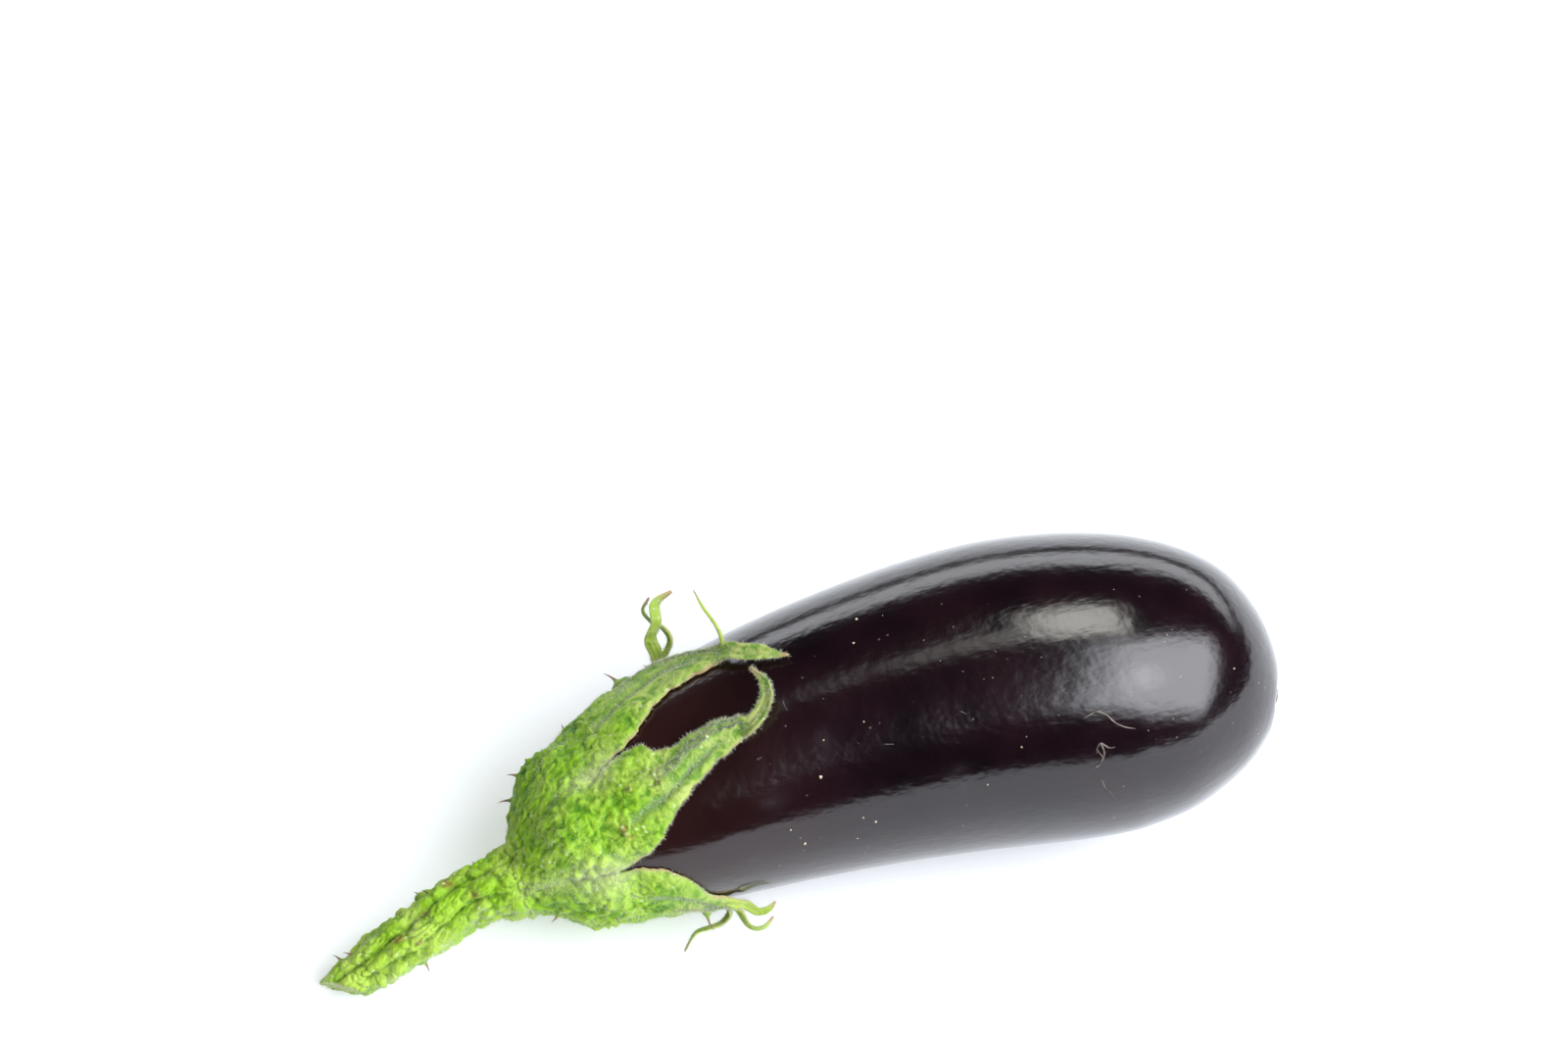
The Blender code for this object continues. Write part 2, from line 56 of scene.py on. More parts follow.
OUTLINE = [(0, 0), (0.013, 0.318), (0.047, 0.509), (0.104, 0.641), (0.187, 0.737), (0.292, 0.820),
           (0.417, 0.897), (0.542, 0.962), (0.656, 1.0), (0.760, 0.987), (0.844, 0.920),
           (0.911, 0.775), (0.961, 0.530), (0.990, 0.260), (1, 0)]
CENTRELINE = [(0, -0.04), (0.167, 0.48), (0.333, 0.85), (0.5, 1.0), (0.667, 0.93), (0.833, 0.46),
              (1, -0.45)]
TABLE_STEPS = 24
FRUIT_SIDES = 256
BODY_RINGS = 236
NOSE_RINGS = 30
NOSE_REACH = 9.0            # stretch of skin round the blossom scar that gets finer rings


def smooth(points, per_span, before=None, after=None):
    """Catmull-Rom curve through the points; before and after steer its ends."""
    knots = np.array(points, dtype=float)
    first = 2 * knots[0] - knots[1] if before is None else np.array(before, dtype=float)
    last = 2 * knots[-1] - knots[-2] if after is None else np.array(after, dtype=float)
    knots = np.vstack([first, knots, last])
    rows = []
    for i in range(1, len(knots) - 2):
        for step in range(per_span):
            t = step / per_span
            a, b, c, d = knots[i - 1:i + 3]
            rows.append(b + 0.5 * t * (c - a + t * (2 * a - 5 * b + 4 * c - d
                                                   + t * (3 * (b - c) + d - a))))
    rows.append(knots[-2])
    return np.array(rows)


def table_row(where, keys, table):
    """Linear reading of a table with several columns."""
    return np.stack([np.interp(where, keys, column) for column in table.T], axis=-1)


def unit(vectors):
    """Vectors scaled to length one."""
    vectors = np.asarray(vectors, dtype=float)
    return vectors / np.maximum(np.linalg.norm(vectors, axis=-1, keepdims=True), 1e-12)


def ease(share):
    """Smooth step from 0 to 1."""
    share = np.clip(share, 0.0, 1.0)
    return share * share * (3 - 2 * share)


def bell(distance):
    """Bell curve: 1 at distance 0, a third at 1 and nothing from about 2."""
    return np.exp(-distance ** 2)


profile = smooth(OUTLINE, TABLE_STEPS, (OUTLINE[1][0], -OUTLINE[1][1]),
                 (OUTLINE[-2][0], -OUTLINE[-2][1])) * (FRUIT_LENGTH, BELLY_RADIUS)
profile_steps = np.linalg.norm(np.diff(profile, axis=0), axis=1)
profile_reach = np.concatenate([[0.0], np.cumsum(profile_steps)])
profile_slope = np.gradient(profile, profile_reach, axis=0)
SKIN_REACH = profile_reach[-1]
spine_shares = smooth(CENTRELINE, TABLE_STEPS)
spine = np.column_stack([spine_shares[:, 0] * FRUIT_LENGTH, spine_shares[:, 1] * SIDE_BOW,
                         spine_shares[:, 0] * NOSE_RISE])
spine_along = spine[:, 0].copy()
spine_direction = np.gradient(spine, spine_along, axis=0)


def skin(reach, around, lift=0.0):
    """Points over the skin in mm, from reach over the skin, angle from the top and lift."""
    reach, around, lift = np.broadcast_arrays(reach, np.radians(around), lift)
    outline = table_row(reach, profile_reach, profile)
    slope = unit(table_row(reach, profile_reach, profile_slope))
    centre = table_row(outline[..., 0], spine_along, spine)
    forward = unit(table_row(outline[..., 0], spine_along, spine_direction))
    side = unit(np.cross(forward, np.array([0.0, 0.0, 1.0])))
    up = np.cross(side, forward)
    outward = up * np.cos(around)[..., None] + side * np.sin(around)[..., None]
    normal = outward * slope[..., :1] - forward * slope[..., 1:]
    return centre + outward * outline[..., 1:] + normal * np.asarray(lift)[..., None]


underside = skin(profile_reach, 180.0)
spine[:] = spine - underside[np.argmin(underside[:, 2])] - (0.0, 0.0, REST_DEPTH)


def scatter(cells, salt):
    """Repeatable numbers from 0 to 1 for rows of three whole numbers."""
    mixed = np.sin(cells @ np.array([127.1, 311.7, 74.7]) + salt * 53.3) * 43758.5453
    return mixed - np.floor(mixed)


def soft_noise(points, size, salt):
    """Smooth unevenness from -1 to 1 with swells of about the given size."""
    scaled = np.asarray(points) / size
    base = np.floor(scaled)
    part = ease(scaled - base)
    total = np.zeros(len(scaled))
    for corner in itertools.product((0, 1), repeat=3):
        weight = np.prod(np.where(np.array(corner) == 1, part, 1 - part), axis=-1)
        total += weight * scatter(base + corner, salt)
    return total * 2 - 1


def add_mesh(name, points, faces, surface, masks=None):
    """One smooth-shaded object in metres from points in mm, with named masks on its points."""
    mesh = bpy.data.meshes.new(name)
    mesh.from_pydata((np.asarray(points) * MM).tolist(), [], faces)
    mesh.materials.append(surface)
    mesh.shade_smooth()
    for mask, values in (masks or {}).items():
        layer = mesh.attributes.new(mask, "FLOAT", "POINT")
        layer.data.foreach_set("value", np.asarray(values, dtype=np.float32))
    piece = bpy.data.objects.new(name, mesh)
    bpy.context.scene.collection.objects.link(piece)
    return piece


def ring_faces(first, second):
    """Quads between two closed rings of point numbers."""
    count = len(first)
    return [(first[k], second[k], second[(k + 1) % count], first[(k + 1) % count])
            for k in range(count)]


def fan_faces(ring, centre):
    """Triangles from a closed ring of point numbers to one centre point."""
    count = len(ring)
    return [(ring[k], ring[(k + 1) % count], centre) for k in range(count)]


def closed_faces(rings, start, end):
    """Faces over a row of rings, closed by fans to the points numbered start and end."""
    faces = fan_faces(rings[0][::-1], start) + fan_faces(rings[-1], end)
    for first, second in zip(rings[:-1], rings[1:]):
        faces.extend(ring_faces(second, first))
    return faces


def add_tube(points, faces, rings, start, end):
    """Add a closed tube to points and faces, from its rings and one point beyond each end."""
    total = len(points)
    numbers = [[total + k * len(ring) + side for side in range(len(ring))]
               for k, ring in enumerate(rings)]
    for ring in rings:
        points.extend(ring)
    points.extend([start, end])
    faces.extend(closed_faces(numbers, len(points) - 2, len(points) - 1))


def feed(tree, node, inputs):
    """Set the plain inputs of a node and link the others."""
    for socket, value in inputs.items():
        if isinstance(value, bpy.types.NodeSocket):
            tree.links.new(value, node.inputs[socket])
        else:
            node.inputs[socket].default_value = value


def add_node(tree, kind, inputs=None, **settings):
    """A shader node with its settings and its inputs."""
    made = tree.nodes.new(kind)
    for setting, value in settings.items():
        setattr(made, setting, value)
    feed(tree, made, inputs or {})
    return made


def mask_of(tree, name):
    """The factor output of a named mask on the mesh."""
    return add_node(tree, "ShaderNodeAttribute", attribute_name=name).outputs["Fac"]


def ramp(tree, factor, low, high):
    """A smooth mask that goes from 0 to 1 as the factor goes from low to high."""
    return add_node(tree, "ShaderNodeMapRange", {"Value": factor, "From Min": low, "From Max": high},
                    interpolation_type="SMOOTHSTEP").outputs["Result"]


def blend_colours(tree, factor, first, second):
    """The first colour where the factor is 0 and the second where it is 1."""
    first, second = ((*colour, 1.0) if isinstance(colour, tuple) else colour
                     for colour in (first, second))
    return add_node(tree, "ShaderNodeMix", {0: factor, 6: first, 7: second},
                    data_type="RGBA").outputs[2]


def coats(tree, hue, *layers):
    """A colour under layers of (mask or its name, colour), the last one on top."""
    for mask, colour in layers:
        factor = mask_of(tree, mask) if isinstance(mask, str) else mask
        hue = blend_colours(tree, factor, hue, colour)
    return hue


def math_node(tree, operation, first, second=0.0):
    """One sum of two values or sockets."""
    return add_node(tree, "ShaderNodeMath", {0: first, 1: second}, operation=operation).outputs[0]


def add_bump(tree, shader, height, strength, distance):
    """Fine relief on a shader's normal, in metres."""
    bump = add_node(tree, "ShaderNodeBump", {"Height": height, "Strength": strength,
                                             "Distance": distance})
    tree.links.new(bump.outputs["Normal"], shader.inputs["Normal"])


def new_surface(name):
    """A material, its node tree, its Principled BSDF and the object's own coordinates."""
    made = bpy.data.materials.new(name)
    made.use_nodes = True
    tree = made.node_tree
    place = add_node(tree, "ShaderNodeTexCoord").outputs["Object"]
    return made, tree, tree.nodes["Principled BSDF"], place


def noise_node(tree, place, scale, detail, **more):
    """A cloudy mask from 0 to 1."""
    inputs = {"Vector": place, "Scale": scale, "Detail": detail, **more}
    return add_node(tree, "ShaderNodeTexNoise", inputs).outputs["Fac"]


def new_group(name, inputs, outputs):
    """A node group that reads a place and numbers. Returns it with its start and end sockets."""
    tree = bpy.data.node_groups.new(name, "ShaderNodeTree")
    tree.interface.new_socket("Place", in_out="INPUT", socket_type="NodeSocketVector")
    for direction, sockets in (("INPUT", inputs), ("OUTPUT", outputs)):
        for socket in sockets:
            tree.interface.new_socket(socket, in_out=direction, socket_type="NodeSocketFloat")
    return tree, tree.nodes.new("NodeGroupInput").outputs, tree.nodes.new("NodeGroupOutput")


def build_speckle_group():
    """Shared effect: fine grain height, soft cloudiness and rare small specks, all from 0 to 1."""
    tree, start, end = new_group("growth_speckle",
                                 ("Grain Scale", "Cloud Scale", "Speck Scale", "Speck Size"),
                                 ("Grain", "Cloud", "Speck"))
    place = start["Place"]
    cells = add_node(tree, "ShaderNodeTexVoronoi", {"Vector": place, "Scale": start["Speck Scale"]})
    dot = math_node(tree, "LESS_THAN", cells.outputs["Distance"], start["Speck Size"])
    rare = math_node(tree, "GREATER_THAN", noise_node(tree, place, start["Cloud Scale"], 0.0), 0.5)
    feed(tree, end, {"Grain": noise_node(tree, place, start["Grain Scale"], 3.0),
                     "Cloud": noise_node(tree, place, start["Cloud Scale"], 2.0),
                     "Speck": math_node(tree, "MULTIPLY", dot, rare)})
    return tree


speckle_group = build_speckle_group()


def speckle(tree, place, grain_scale, cloud_scale, speck_scale, speck_size):
    """The shared speckle effect placed in one material with its own scales."""
    scales = {"Place": place, "Grain Scale": grain_scale, "Cloud Scale": cloud_scale,
              "Speck Scale": speck_scale, "Speck Size": speck_size}
    return add_node(tree, "ShaderNodeGroup", scales, node_tree=speckle_group).outputs


def fruit_surface():
    """Waxed, nearly black aubergine skin with a reddish neck and a corky blossom scar."""
    made, tree, shader, place = new_surface("aubergine_skin")
    fine = speckle(tree, place, 1400.0, 45.0, 230.0, 0.07)
    hue = coats(tree, (0.0034, 0.0008, 0.0020),
                (ramp(tree, fine["Cloud"], 0.35, 0.7), (0.0085, 0.0018, 0.0036)),
                ("neck", (0.0310, 0.0088, 0.0062)), (fine["Speck"], (0.075, 0.060, 0.052)),
                ("bloom", (0.040, 0.030, 0.034)), ("cork", (0.105, 0.060, 0.034)))
    gloss = add_node(tree, "ShaderNodeMapRange", {"Value": fine["Cloud"], "From Min": 0.3,
                                                  "From Max": 0.75, "To Min": 0.14, "To Max": 0.20})
    dull = math_node(tree, "MULTIPLY", mask_of(tree, "cork"), 0.5)
    feed(tree, shader, {"Base Color": hue, "Specular IOR Level": 0.5, "Coat Weight": 0.25,
                        "Roughness": math_node(tree, "ADD", gloss.outputs["Result"], dull),
                        "Coat Roughness": 0.09})
    stretch = add_node(tree, "ShaderNodeMapping", {"Vector": place, "Scale": (0.35, 1.0, 1.0)})
    strokes = math_node(tree, "MULTIPLY",
                        noise_node(tree, stretch.outputs["Vector"], 620.0, 2.0), 0.55)
    pores = math_node(tree, "MULTIPLY", noise_node(tree, place, 330.0, 1.5), 0.9)
    add_bump(tree, shader, math_node(tree, "ADD", strokes, pores), 0.42, 0.00026)
    return made


DIMPLE = (1.3, 4.6)         # depth and radius of the hollow at the blossom end
PUCKERS = (0.07, 5, 4.5)    # height, number and reach of the folds round it
BUTTON = (0.6, 2.3)         # height and radius of the blossom scar
CORK_RADIUS = 2.9           # brown ground round the scar
NECK_TINGE_END = 92.0       # reach at which the reddish neck has faded out


def fruit_relief(points, reach, around):
    """Height of the skin's slow swells and of the puckered blossom end, in mm."""
    from_nose = SKIN_REACH - reach
    swells = 0.28 * soft_noise(points, 34.0, 1) + 0.05 * soft_noise(points, 11.0, 2)
    swells = swells * ease(from_nose / 30.0)
    dimple = -DIMPLE[0] * bell(from_nose / DIMPLE[1])
    pucker = PUCKERS[0] * np.cos(np.radians(around) * PUCKERS[1] + 2 * soft_noise(points, 4.0, 4))
    pucker = pucker * bell((from_nose - PUCKERS[2]) / 2.2)
    button = BUTTON[0] * ease((BUTTON[1] - from_nose) / 0.8) * (1 + 0.5 * soft_noise(points, 0.9, 3))
    return swells + dimple + pucker + button


def on_skin(reach, around, lift=0.0):
    """Points on the finished skin, with its relief."""
    relief = fruit_relief(skin(reach, around).reshape(-1, 3), np.ravel(reach), np.ravel(around))
    return skin(reach, around, np.reshape(relief, np.shape(reach)) + lift)


# Dull grey rubbed places as (reach, around, radius)
RUBBED = [(69, 49.5, 3.0), (86, 32.5, 2.2), (80, 13, 1.2), (118, 60, 2.6), (60, 78, 2.4),
          (150, -40, 4), (95, 150, 5), (140, 205, 6)]


def add_fruit():
    """The fruit as one closed skin."""
    spacing = np.concatenate([np.linspace(0.0, SKIN_REACH - NOSE_REACH, BODY_RINGS)[1:],
                              np.linspace(SKIN_REACH - NOSE_REACH, SKIN_REACH, NOSE_RINGS)[1:-1]])
    turn = np.arange(FRUIT_SIDES) * 360.0 / FRUIT_SIDES
    reach, around = (grid.ravel() for grid in np.meshgrid(spacing, turn, indexing="ij"))
    reach = np.concatenate([reach, [0.0, SKIN_REACH]])
    around = np.concatenate([around, [0.0, 0.0]])
    points = on_skin(reach, around)
    points[:, 2] = np.maximum(points[:, 2], 0.0)
    rings = [list(range(k * FRUIT_SIDES, (k + 1) * FRUIT_SIDES)) for k in range(len(spacing))]
    faces = closed_faces(rings, len(points) - 2, len(points) - 1)
    cork = ease((CORK_RADIUS - SKIN_REACH + reach) / 0.9)
    neck = ease((NECK_TINGE_END - reach) / 60) * (0.6 + 0.4 * soft_noise(points, 16.0, 4))
    bloom = np.zeros(len(points))
    for place, angle, radius in RUBBED:
        near = bell(np.linalg.norm(points - skin(place, angle), axis=-1) / radius)
        bloom += 0.5 * near * (0.7 + 0.6 * soft_noise(points, 2.0, 6))
    return add_mesh("fruit_skin", points, faces, fruit_surface(),
                    {"cork": cork, "neck": neck, "bloom": bloom})


fruit_piece = add_fruit()
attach(fruit_piece, "root")
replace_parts(fruit_piece, "fruit")

# ---------------------------------------------------------------------------------------------
# Calyx and stalk. One fleshy, blistered green growth: a ribbed stalk cut off on a slant, which
# swells into a cup round the neck of the fruit and parts into six pointed lobes. Some lobes end
# in thin tendrils. The lobes lie on the skin and are thin and dry at their margins.
# ---------------------------------------------------------------------------------------------
HUG_LIFT = 0.45             # inner face above the skin
LOBE_THICKNESS = 1.6
MARGIN_SHARE = 0.62
SHOULDER_SWELL = 4.6
SWELL_START = 15.0
SWELL_END = 32.0
VALLEY_RISE = 1.1
PALE_VALLEY = (2, 20.0)     # number of the notch that a pale valley runs up from, and its half width
CUP_TRAVEL = 28.0           # length of the cup, counted on from the travel along the stalk
NOTCH_BULGE = 3.5
CUP_TOP_REACH = 9.5
CUP_EYE_SHARE = 0.25
JOINT_SPREAD = 2.2
TENDRIL_THICKNESS = 0.95
TENDRIL_WIDTH = 1.35        # width of the tendrils, fuller than the plain shape
RAGGED = 0.38               # degrees by which a lobe's margin wavers
DRY_MARGIN = 0.9            # width of a lobe's dry margin
RIB_LINES = 0.8             # distance of the two purple lines from the middle of a midrib
RIB_RISE = 0.9
FOLD_DEPTH = 1.0
TIP_CREASE = 0.22           # height of the lengthwise creases of a tip
TIP_CUPPING = 0.35          # how far a tip's margins curl up, as a share of its half width
STALK_RUN = 51.5
STALK_SWING = 12.0
STALK_BASE_RADIUS = 9.4
STALK_END_RADIUS = 4.9
STALK_END_GAP = 0.8
STALK_OFFSET = (-8.0, -5.0, -1.0)
CUT_SLANT = math.radians(40)
CUT_FADE = 14.0             # length of stalk over which its rings lean into the slant of the cut
CUT_HOLLOW = 0.5            # depth of the hollow in the cut end
ROUGH_END = 10.0            # length of stalk over which the lumps fade out at the cut
STALK_ROUTE = [(0, 0, 0), (0.15, 0.04, 0.09), (0.28, 0.08, 0.20), (0.41, 0.25, 0.34),
               (0.55, 0.40, 0.50), (0.71, 0.55, 0.68), (0.86, 0.77, 0.86), (1, 1, 1)]
STALK_GIRTH = [(0, 1), (0.08, 0.70), (0.2, 0.50), (0.4, 0.40), (0.65, 0.28), (0.85, 0.07), (1, 0)]
FINE = 8                    # columns and rows of the fine mesh for each one of the plain shape
COLUMNS = 6 * FINE          # columns across a lobe
CUP_ROWS = 44
STALK_ROWS = 120
CUT_ROWS = 8
NOTCHES = [(31, -63), (32.5, 1), (26.4, 61), (27, 124), (28, 184), (27, 242)]
# Lobe margins as rows of (reach, around) on the left and right, and tips as (first column, last
# column, thickness share, stations of (reach, around, lift, half width)). The rib is the share
# across the lobe where its midrib starts and ends, and the fold the same for a lengthwise crease.
LOBES = {
    "upper": {
        "rib": (0.30, 0.20),
        "fold": (0.62, 0.50),
        "left": [(37, -62), (43, -62), (49, -61.5), (55, -59), (60, -52), (65, -41), (70.5, -30.5)],
        "right": [(37.5, -2.5), (44, -6.5), (46.5, -10.5), (51.5, -17), (56.5, -20.5), (62.5, -21),
                  (69, -20.5)],
        "tips": [
            (0, 1, 0.6, [(72.4, -23.5, 4, 0.5), (73.1, -25, 8.5, 0.35), (72.3, -28, 14.2, 0.3),
                         (72.2, -30.3, 18.6, 0.2)]),
            (1, 6, 1.0, [(73, -20, 3.2, 2.3), (76, -15.5, 3.0, 2.1), (79.5, -12, 2.6, 1.9),
                         (82.5, -8.5, 2.0, 1.0), (85.5, -6, 1.6, 0.3)]),
        ],
    },
    "front": {
        "rib": (0.42, 0.20),
        "fold": (0.60, 0.66),
        "left": [(38.5, -1), (44, -0.5), (46.5, 6), (51, 9), (56, 7.5), (62.5, 7.5), (69, 10.5)],
        "right": [(33, 56), (39, 50), (41.5, 45), (46, 38), (52, 31), (59, 25), (67, 20.5)],
        "tips": [
            (0, 6, 1.0, [(70.5, 16.8, 3.2, 2.3), (74, 14.5, 4.2, 2.1), (77, 10.5, 5.8, 1.9),
                         (77.8, 6, 8.0, 1.4), (76, 1.5, 10.8, 0.4)]),
        ],
    },
    "near": {
        "rib": (0.62, 0.50),
        "fold": (0.35, 0.40),
        "left": [(31.5, 61.5), (36, 65), (39.5, 70.5), (44, 83), (46.5, 95), (50.5, 103.5)],
        "right": [(32, 124), (36, 124), (39.5, 124), (43.5, 124), (47, 123.5), (50.8, 119)],
        "tips": [
            (0, 2, 0.8, [(53.2, 109.5, 2.4, 1.0), (55.5, 114.5, 2.6, 0.9), (58.3, 116.5, 5.0, 0.8),
                         (61.2, 116, 5.0, 0.7), (63.5, 115, 3.6, 0.3)]),
            (2, 4, 0.8, [(53.6, 116.5, 3.6, 1.0), (55.2, 117.3, 7.6, 0.9), (57.1, 117.2, 9.1, 0.8),
                         (59.4, 116.7, 9.0, 0.7), (62, 115.7, 7.2, 0.3)]),
            (4, 6, 0.8, [(51.4, 119.8, 4.0, 1.1), (49, 120.8, 6.0, 1.0), (45.5, 120.3, 6.5, 0.9),
                         (41.8, 121.2, 7.2, 0.7), (38.6, 122.6, 11.2, 0.3)]),
        ],
    },
    "under_near": {
        "rib": (0.5, 0.5),
        "fold": (0.72, 0.60),
        "left": [(33, 128), (39, 134), (45, 141), (51, 147), (57, 151)],
        "right": [(33.5, 181), (39, 177), (45, 172), (51, 167), (57, 163)],
        "tips": [
            (0, 6, 1.0, [(60.5, 157, 1.7, 2.2), (64.5, 156, 1.8, 1.5), (68.5, 154, 2.0, 0.4)]),
        ],
    },
    "under_far": {
        "rib": (0.5, 0.5),
        "fold": (0.72, 0.60),
        "left": [(33.5, 187), (39, 191), (45, 197), (51, 202), (57, 206)],
        "right": [(33, 240), (39, 237), (45, 232), (51, 226), (57, 220)],
        "tips": [
            (0, 6, 1.0, [(61, 213.5, 1.8, 2.3), (65.5, 215, 2.4, 1.6), (70, 218, 3.6, 0.4)]),
        ],
    },
    "far": {
        "rib": (0.5, 0.5),
        "fold": (0.72, 0.60),
        "left": [(33, 244), (39, 248), (45, 256), (51, 268), (57, 281)],
        "right": [(37, 296), (42.5, 295.5), (48, 294), (53, 293), (58, 292.5)],
        "tips": [
            (0, 3, 0.8, [(60, 288.5, 4.2, 1.4), (60.5, 294, 8.3, 1.4), (63.3, 299, 10.9, 1.3),
                         (65.1, 301, 15.1, 1.2), (69.4, 302, 15.9, 0.4)]),
            (3, 6, 0.8, [(61.5, 291.5, 3.2, 1.1), (64.2, 294, 5.6, 1.0), (64.2, 295, 9.1, 0.9),
                         (62.7, 295.1, 11.9, 0.8), (62.2, 296.1, 15.5, 0.7), (64.8, 297.1, 17.7, 0.3)]),
        ],
    },
}
MASKS = ("stalk", "rough", "margin", "rib", "fold", "tip", "fresh", "cut", "inside", "notch",
         "shoulder", "turn", "travel")


def stalk_frames(shares):
    """Centre, direction, two cross directions, radius and travel at shares of the stalk's route."""
    joint = skin(0.0, 0.0) + np.array(STALK_OFFSET)
    drop = joint[2] - STALK_END_RADIUS - STALK_END_GAP
    route = joint + smooth(STALK_ROUTE, TABLE_STEPS) * (-STALK_RUN, -STALK_SWING, -drop)
    travel = np.concatenate([[0.0], np.cumsum(np.linalg.norm(np.diff(route, axis=0), axis=1))])
    centres = table_row(shares, travel / travel[-1], route)
    slopes = table_row(shares, travel / travel[-1], np.gradient(route, travel, axis=0))
    directions = unit(slopes)
    girth = np.array(STALK_GIRTH)
    swell = np.interp(shares, girth[:, 0], girth[:, 1])
    radii = STALK_END_RADIUS + (STALK_BASE_RADIUS - STALK_END_RADIUS) * swell
    side = unit(np.cross(-directions, np.array([0.0, 0.0, 1.0])))
    up = np.cross(side, -directions)
    return centres, directions, side, up, radii, np.asarray(shares) * travel[-1]


class Growth:
    """The calyx and stalk while they are put together: points, faces and a mask value per point."""

    def __init__(self):
        self.points = []
        self.faces = []
        self.masks = {name: [] for name in MASKS}

    def add(self, points, **masks):
        """Store points with their masks and return their numbers."""
        start = len(self.points)
        count = len(points)
        self.points.extend(points)
        for name in MASKS:
            self.masks[name].extend(np.broadcast_to(masks.get(name, 0.0), (count,)))
        return list(range(start, start + count))

    def add_strip(self, root, rows, close):
        """Grow a two-layer strip from a root row through further rows; close its end if asked."""
        last = root
        for new in rows:
            for k in range(len(new[0]) - 1):
                self.faces.append((last[0][k], last[0][k + 1], new[0][k + 1], new[0][k]))
                self.faces.append((last[1][k], new[1][k], new[1][k + 1], last[1][k + 1]))
            self.faces.append((last[0][0], new[0][0], new[1][0], last[1][0]))
            self.faces.append((last[0][-1], last[1][-1], new[1][-1], new[0][-1]))
            last = new
        for k in range(len(last[0]) - 1 if close else 0):
            self.faces.append((last[0][k], last[0][k + 1], last[1][k + 1], last[1][k]))
        return last


def lobe_body(share):
    """How far a column lies from its lobe's margins: 0 at a margin, 1 along the middle."""
    return 1 - np.abs(2 * share - 1) ** 3


def edge_round(share, free):
    """Thinning of the last stretch towards a free margin, so that the edge is rounded."""
    return 1 - free * (1 - np.sqrt(np.clip(1 - np.abs(2 * share - 1) ** 12, 0.0, 1.0)) * 0.9 - 0.1)


def outer_lift(reach, body):
    """Height of the outer face above the skin; body is 1 inside a lobe and 0 at its margin."""
    swell = SHOULDER_SWELL * (1 - ease((reach - SWELL_START) / (SWELL_END - SWELL_START)))
    return HUG_LIFT + LOBE_THICKNESS * (MARGIN_SHARE + (1 - MARGIN_SHARE) * body) + swell * body


def rim_row(number):
    """Reach and angle of the columns across the root of one lobe."""
    start = NOTCHES[number]
    end = NOTCHES[(number + 1) % len(NOTCHES)]
    turn = (end[1] - start[1]) % 360
    share = np.linspace(0.0, 1.0, COLUMNS + 1)
    reach = start[0] + (end[0] - start[0]) * share + NOTCH_BULGE * np.sin(math.pi * share)
    return reach, start[1] + turn * share


def add_cup(growth):
    """The closed cup, from the stalk's joint to the roots of the lobes. Returns its end rows."""
    rims = [rim_row(number) for number in range(len(NOTCHES))]
    rim_reach = np.concatenate([reach[:-1] for reach, _ in rims])
    rim_around = np.concatenate([around[:-1] for _, around in rims])
    columns = len(rim_reach)
    even = rim_around[0] + np.arange(columns) * 360.0 / columns
    across = np.arange(columns) % COLUMNS / COLUMNS
    body = lobe_body(across)
    centres, directions, side, up, radii, _ = stalk_frames(np.array([0.0]))
    turn = np.radians(even)[:, None]
    joint = centres[0] + radii[0] * (up[0] * np.cos(turn) + side[0] * np.sin(turn))
    rows = []
    for k in range(CUP_ROWS + 1):
        share = k / CUP_ROWS
        reach = CUP_TOP_REACH + (rim_reach - CUP_TOP_REACH) * share
        around = even + (rim_around - even) * share
        thick = 1 - (1 - body) * ease(share * VALLEY_RISE)
        resting = skin(reach, around, outer_lift(reach, thick))
        outer = joint + (resting - joint) * ease(share * JOINT_SPREAD)
        inner = skin(reach * (CUP_EYE_SHARE + (1 - CUP_EYE_SHARE) * share), around, HUG_LIFT)
        beside = np.abs(even - NOTCHES[PALE_VALLEY[0]][1]) < PALE_VALLEY[1]
        valley = bell((1 - share) * 1.3) * beside
        near_notch = bell((1 - share) * 3.0) * np.abs(2 * across - 1) ** 6
        near_notch = np.maximum(near_notch, valley * np.abs(2 * across - 1) ** 3)
        shoulder = ease(share * 2.0) * (1 - 0.55 * ease((share - 0.55) / 0.45))
        rows.append((growth.add(outer, stalk=1 - ease(share * 4.0), rough=1.0, notch=near_notch,
                                shoulder=shoulder, turn=np.radians(even), travel=-CUP_TRAVEL * share),
                     growth.add(inner, inside=1.0)))
    for first, second in zip(rows[:-1], rows[1:]):
        growth.faces.extend(ring_faces(second[0], first[0]))
        growth.faces.extend(ring_faces(first[1], second[1]))
    eye = growth.add([skin(0.0, 0.0, HUG_LIFT)], inside=1.0)[0]
    growth.faces.extend(fan_faces(rows[0][1], eye))
    return rows[0][0], rows[-1], even


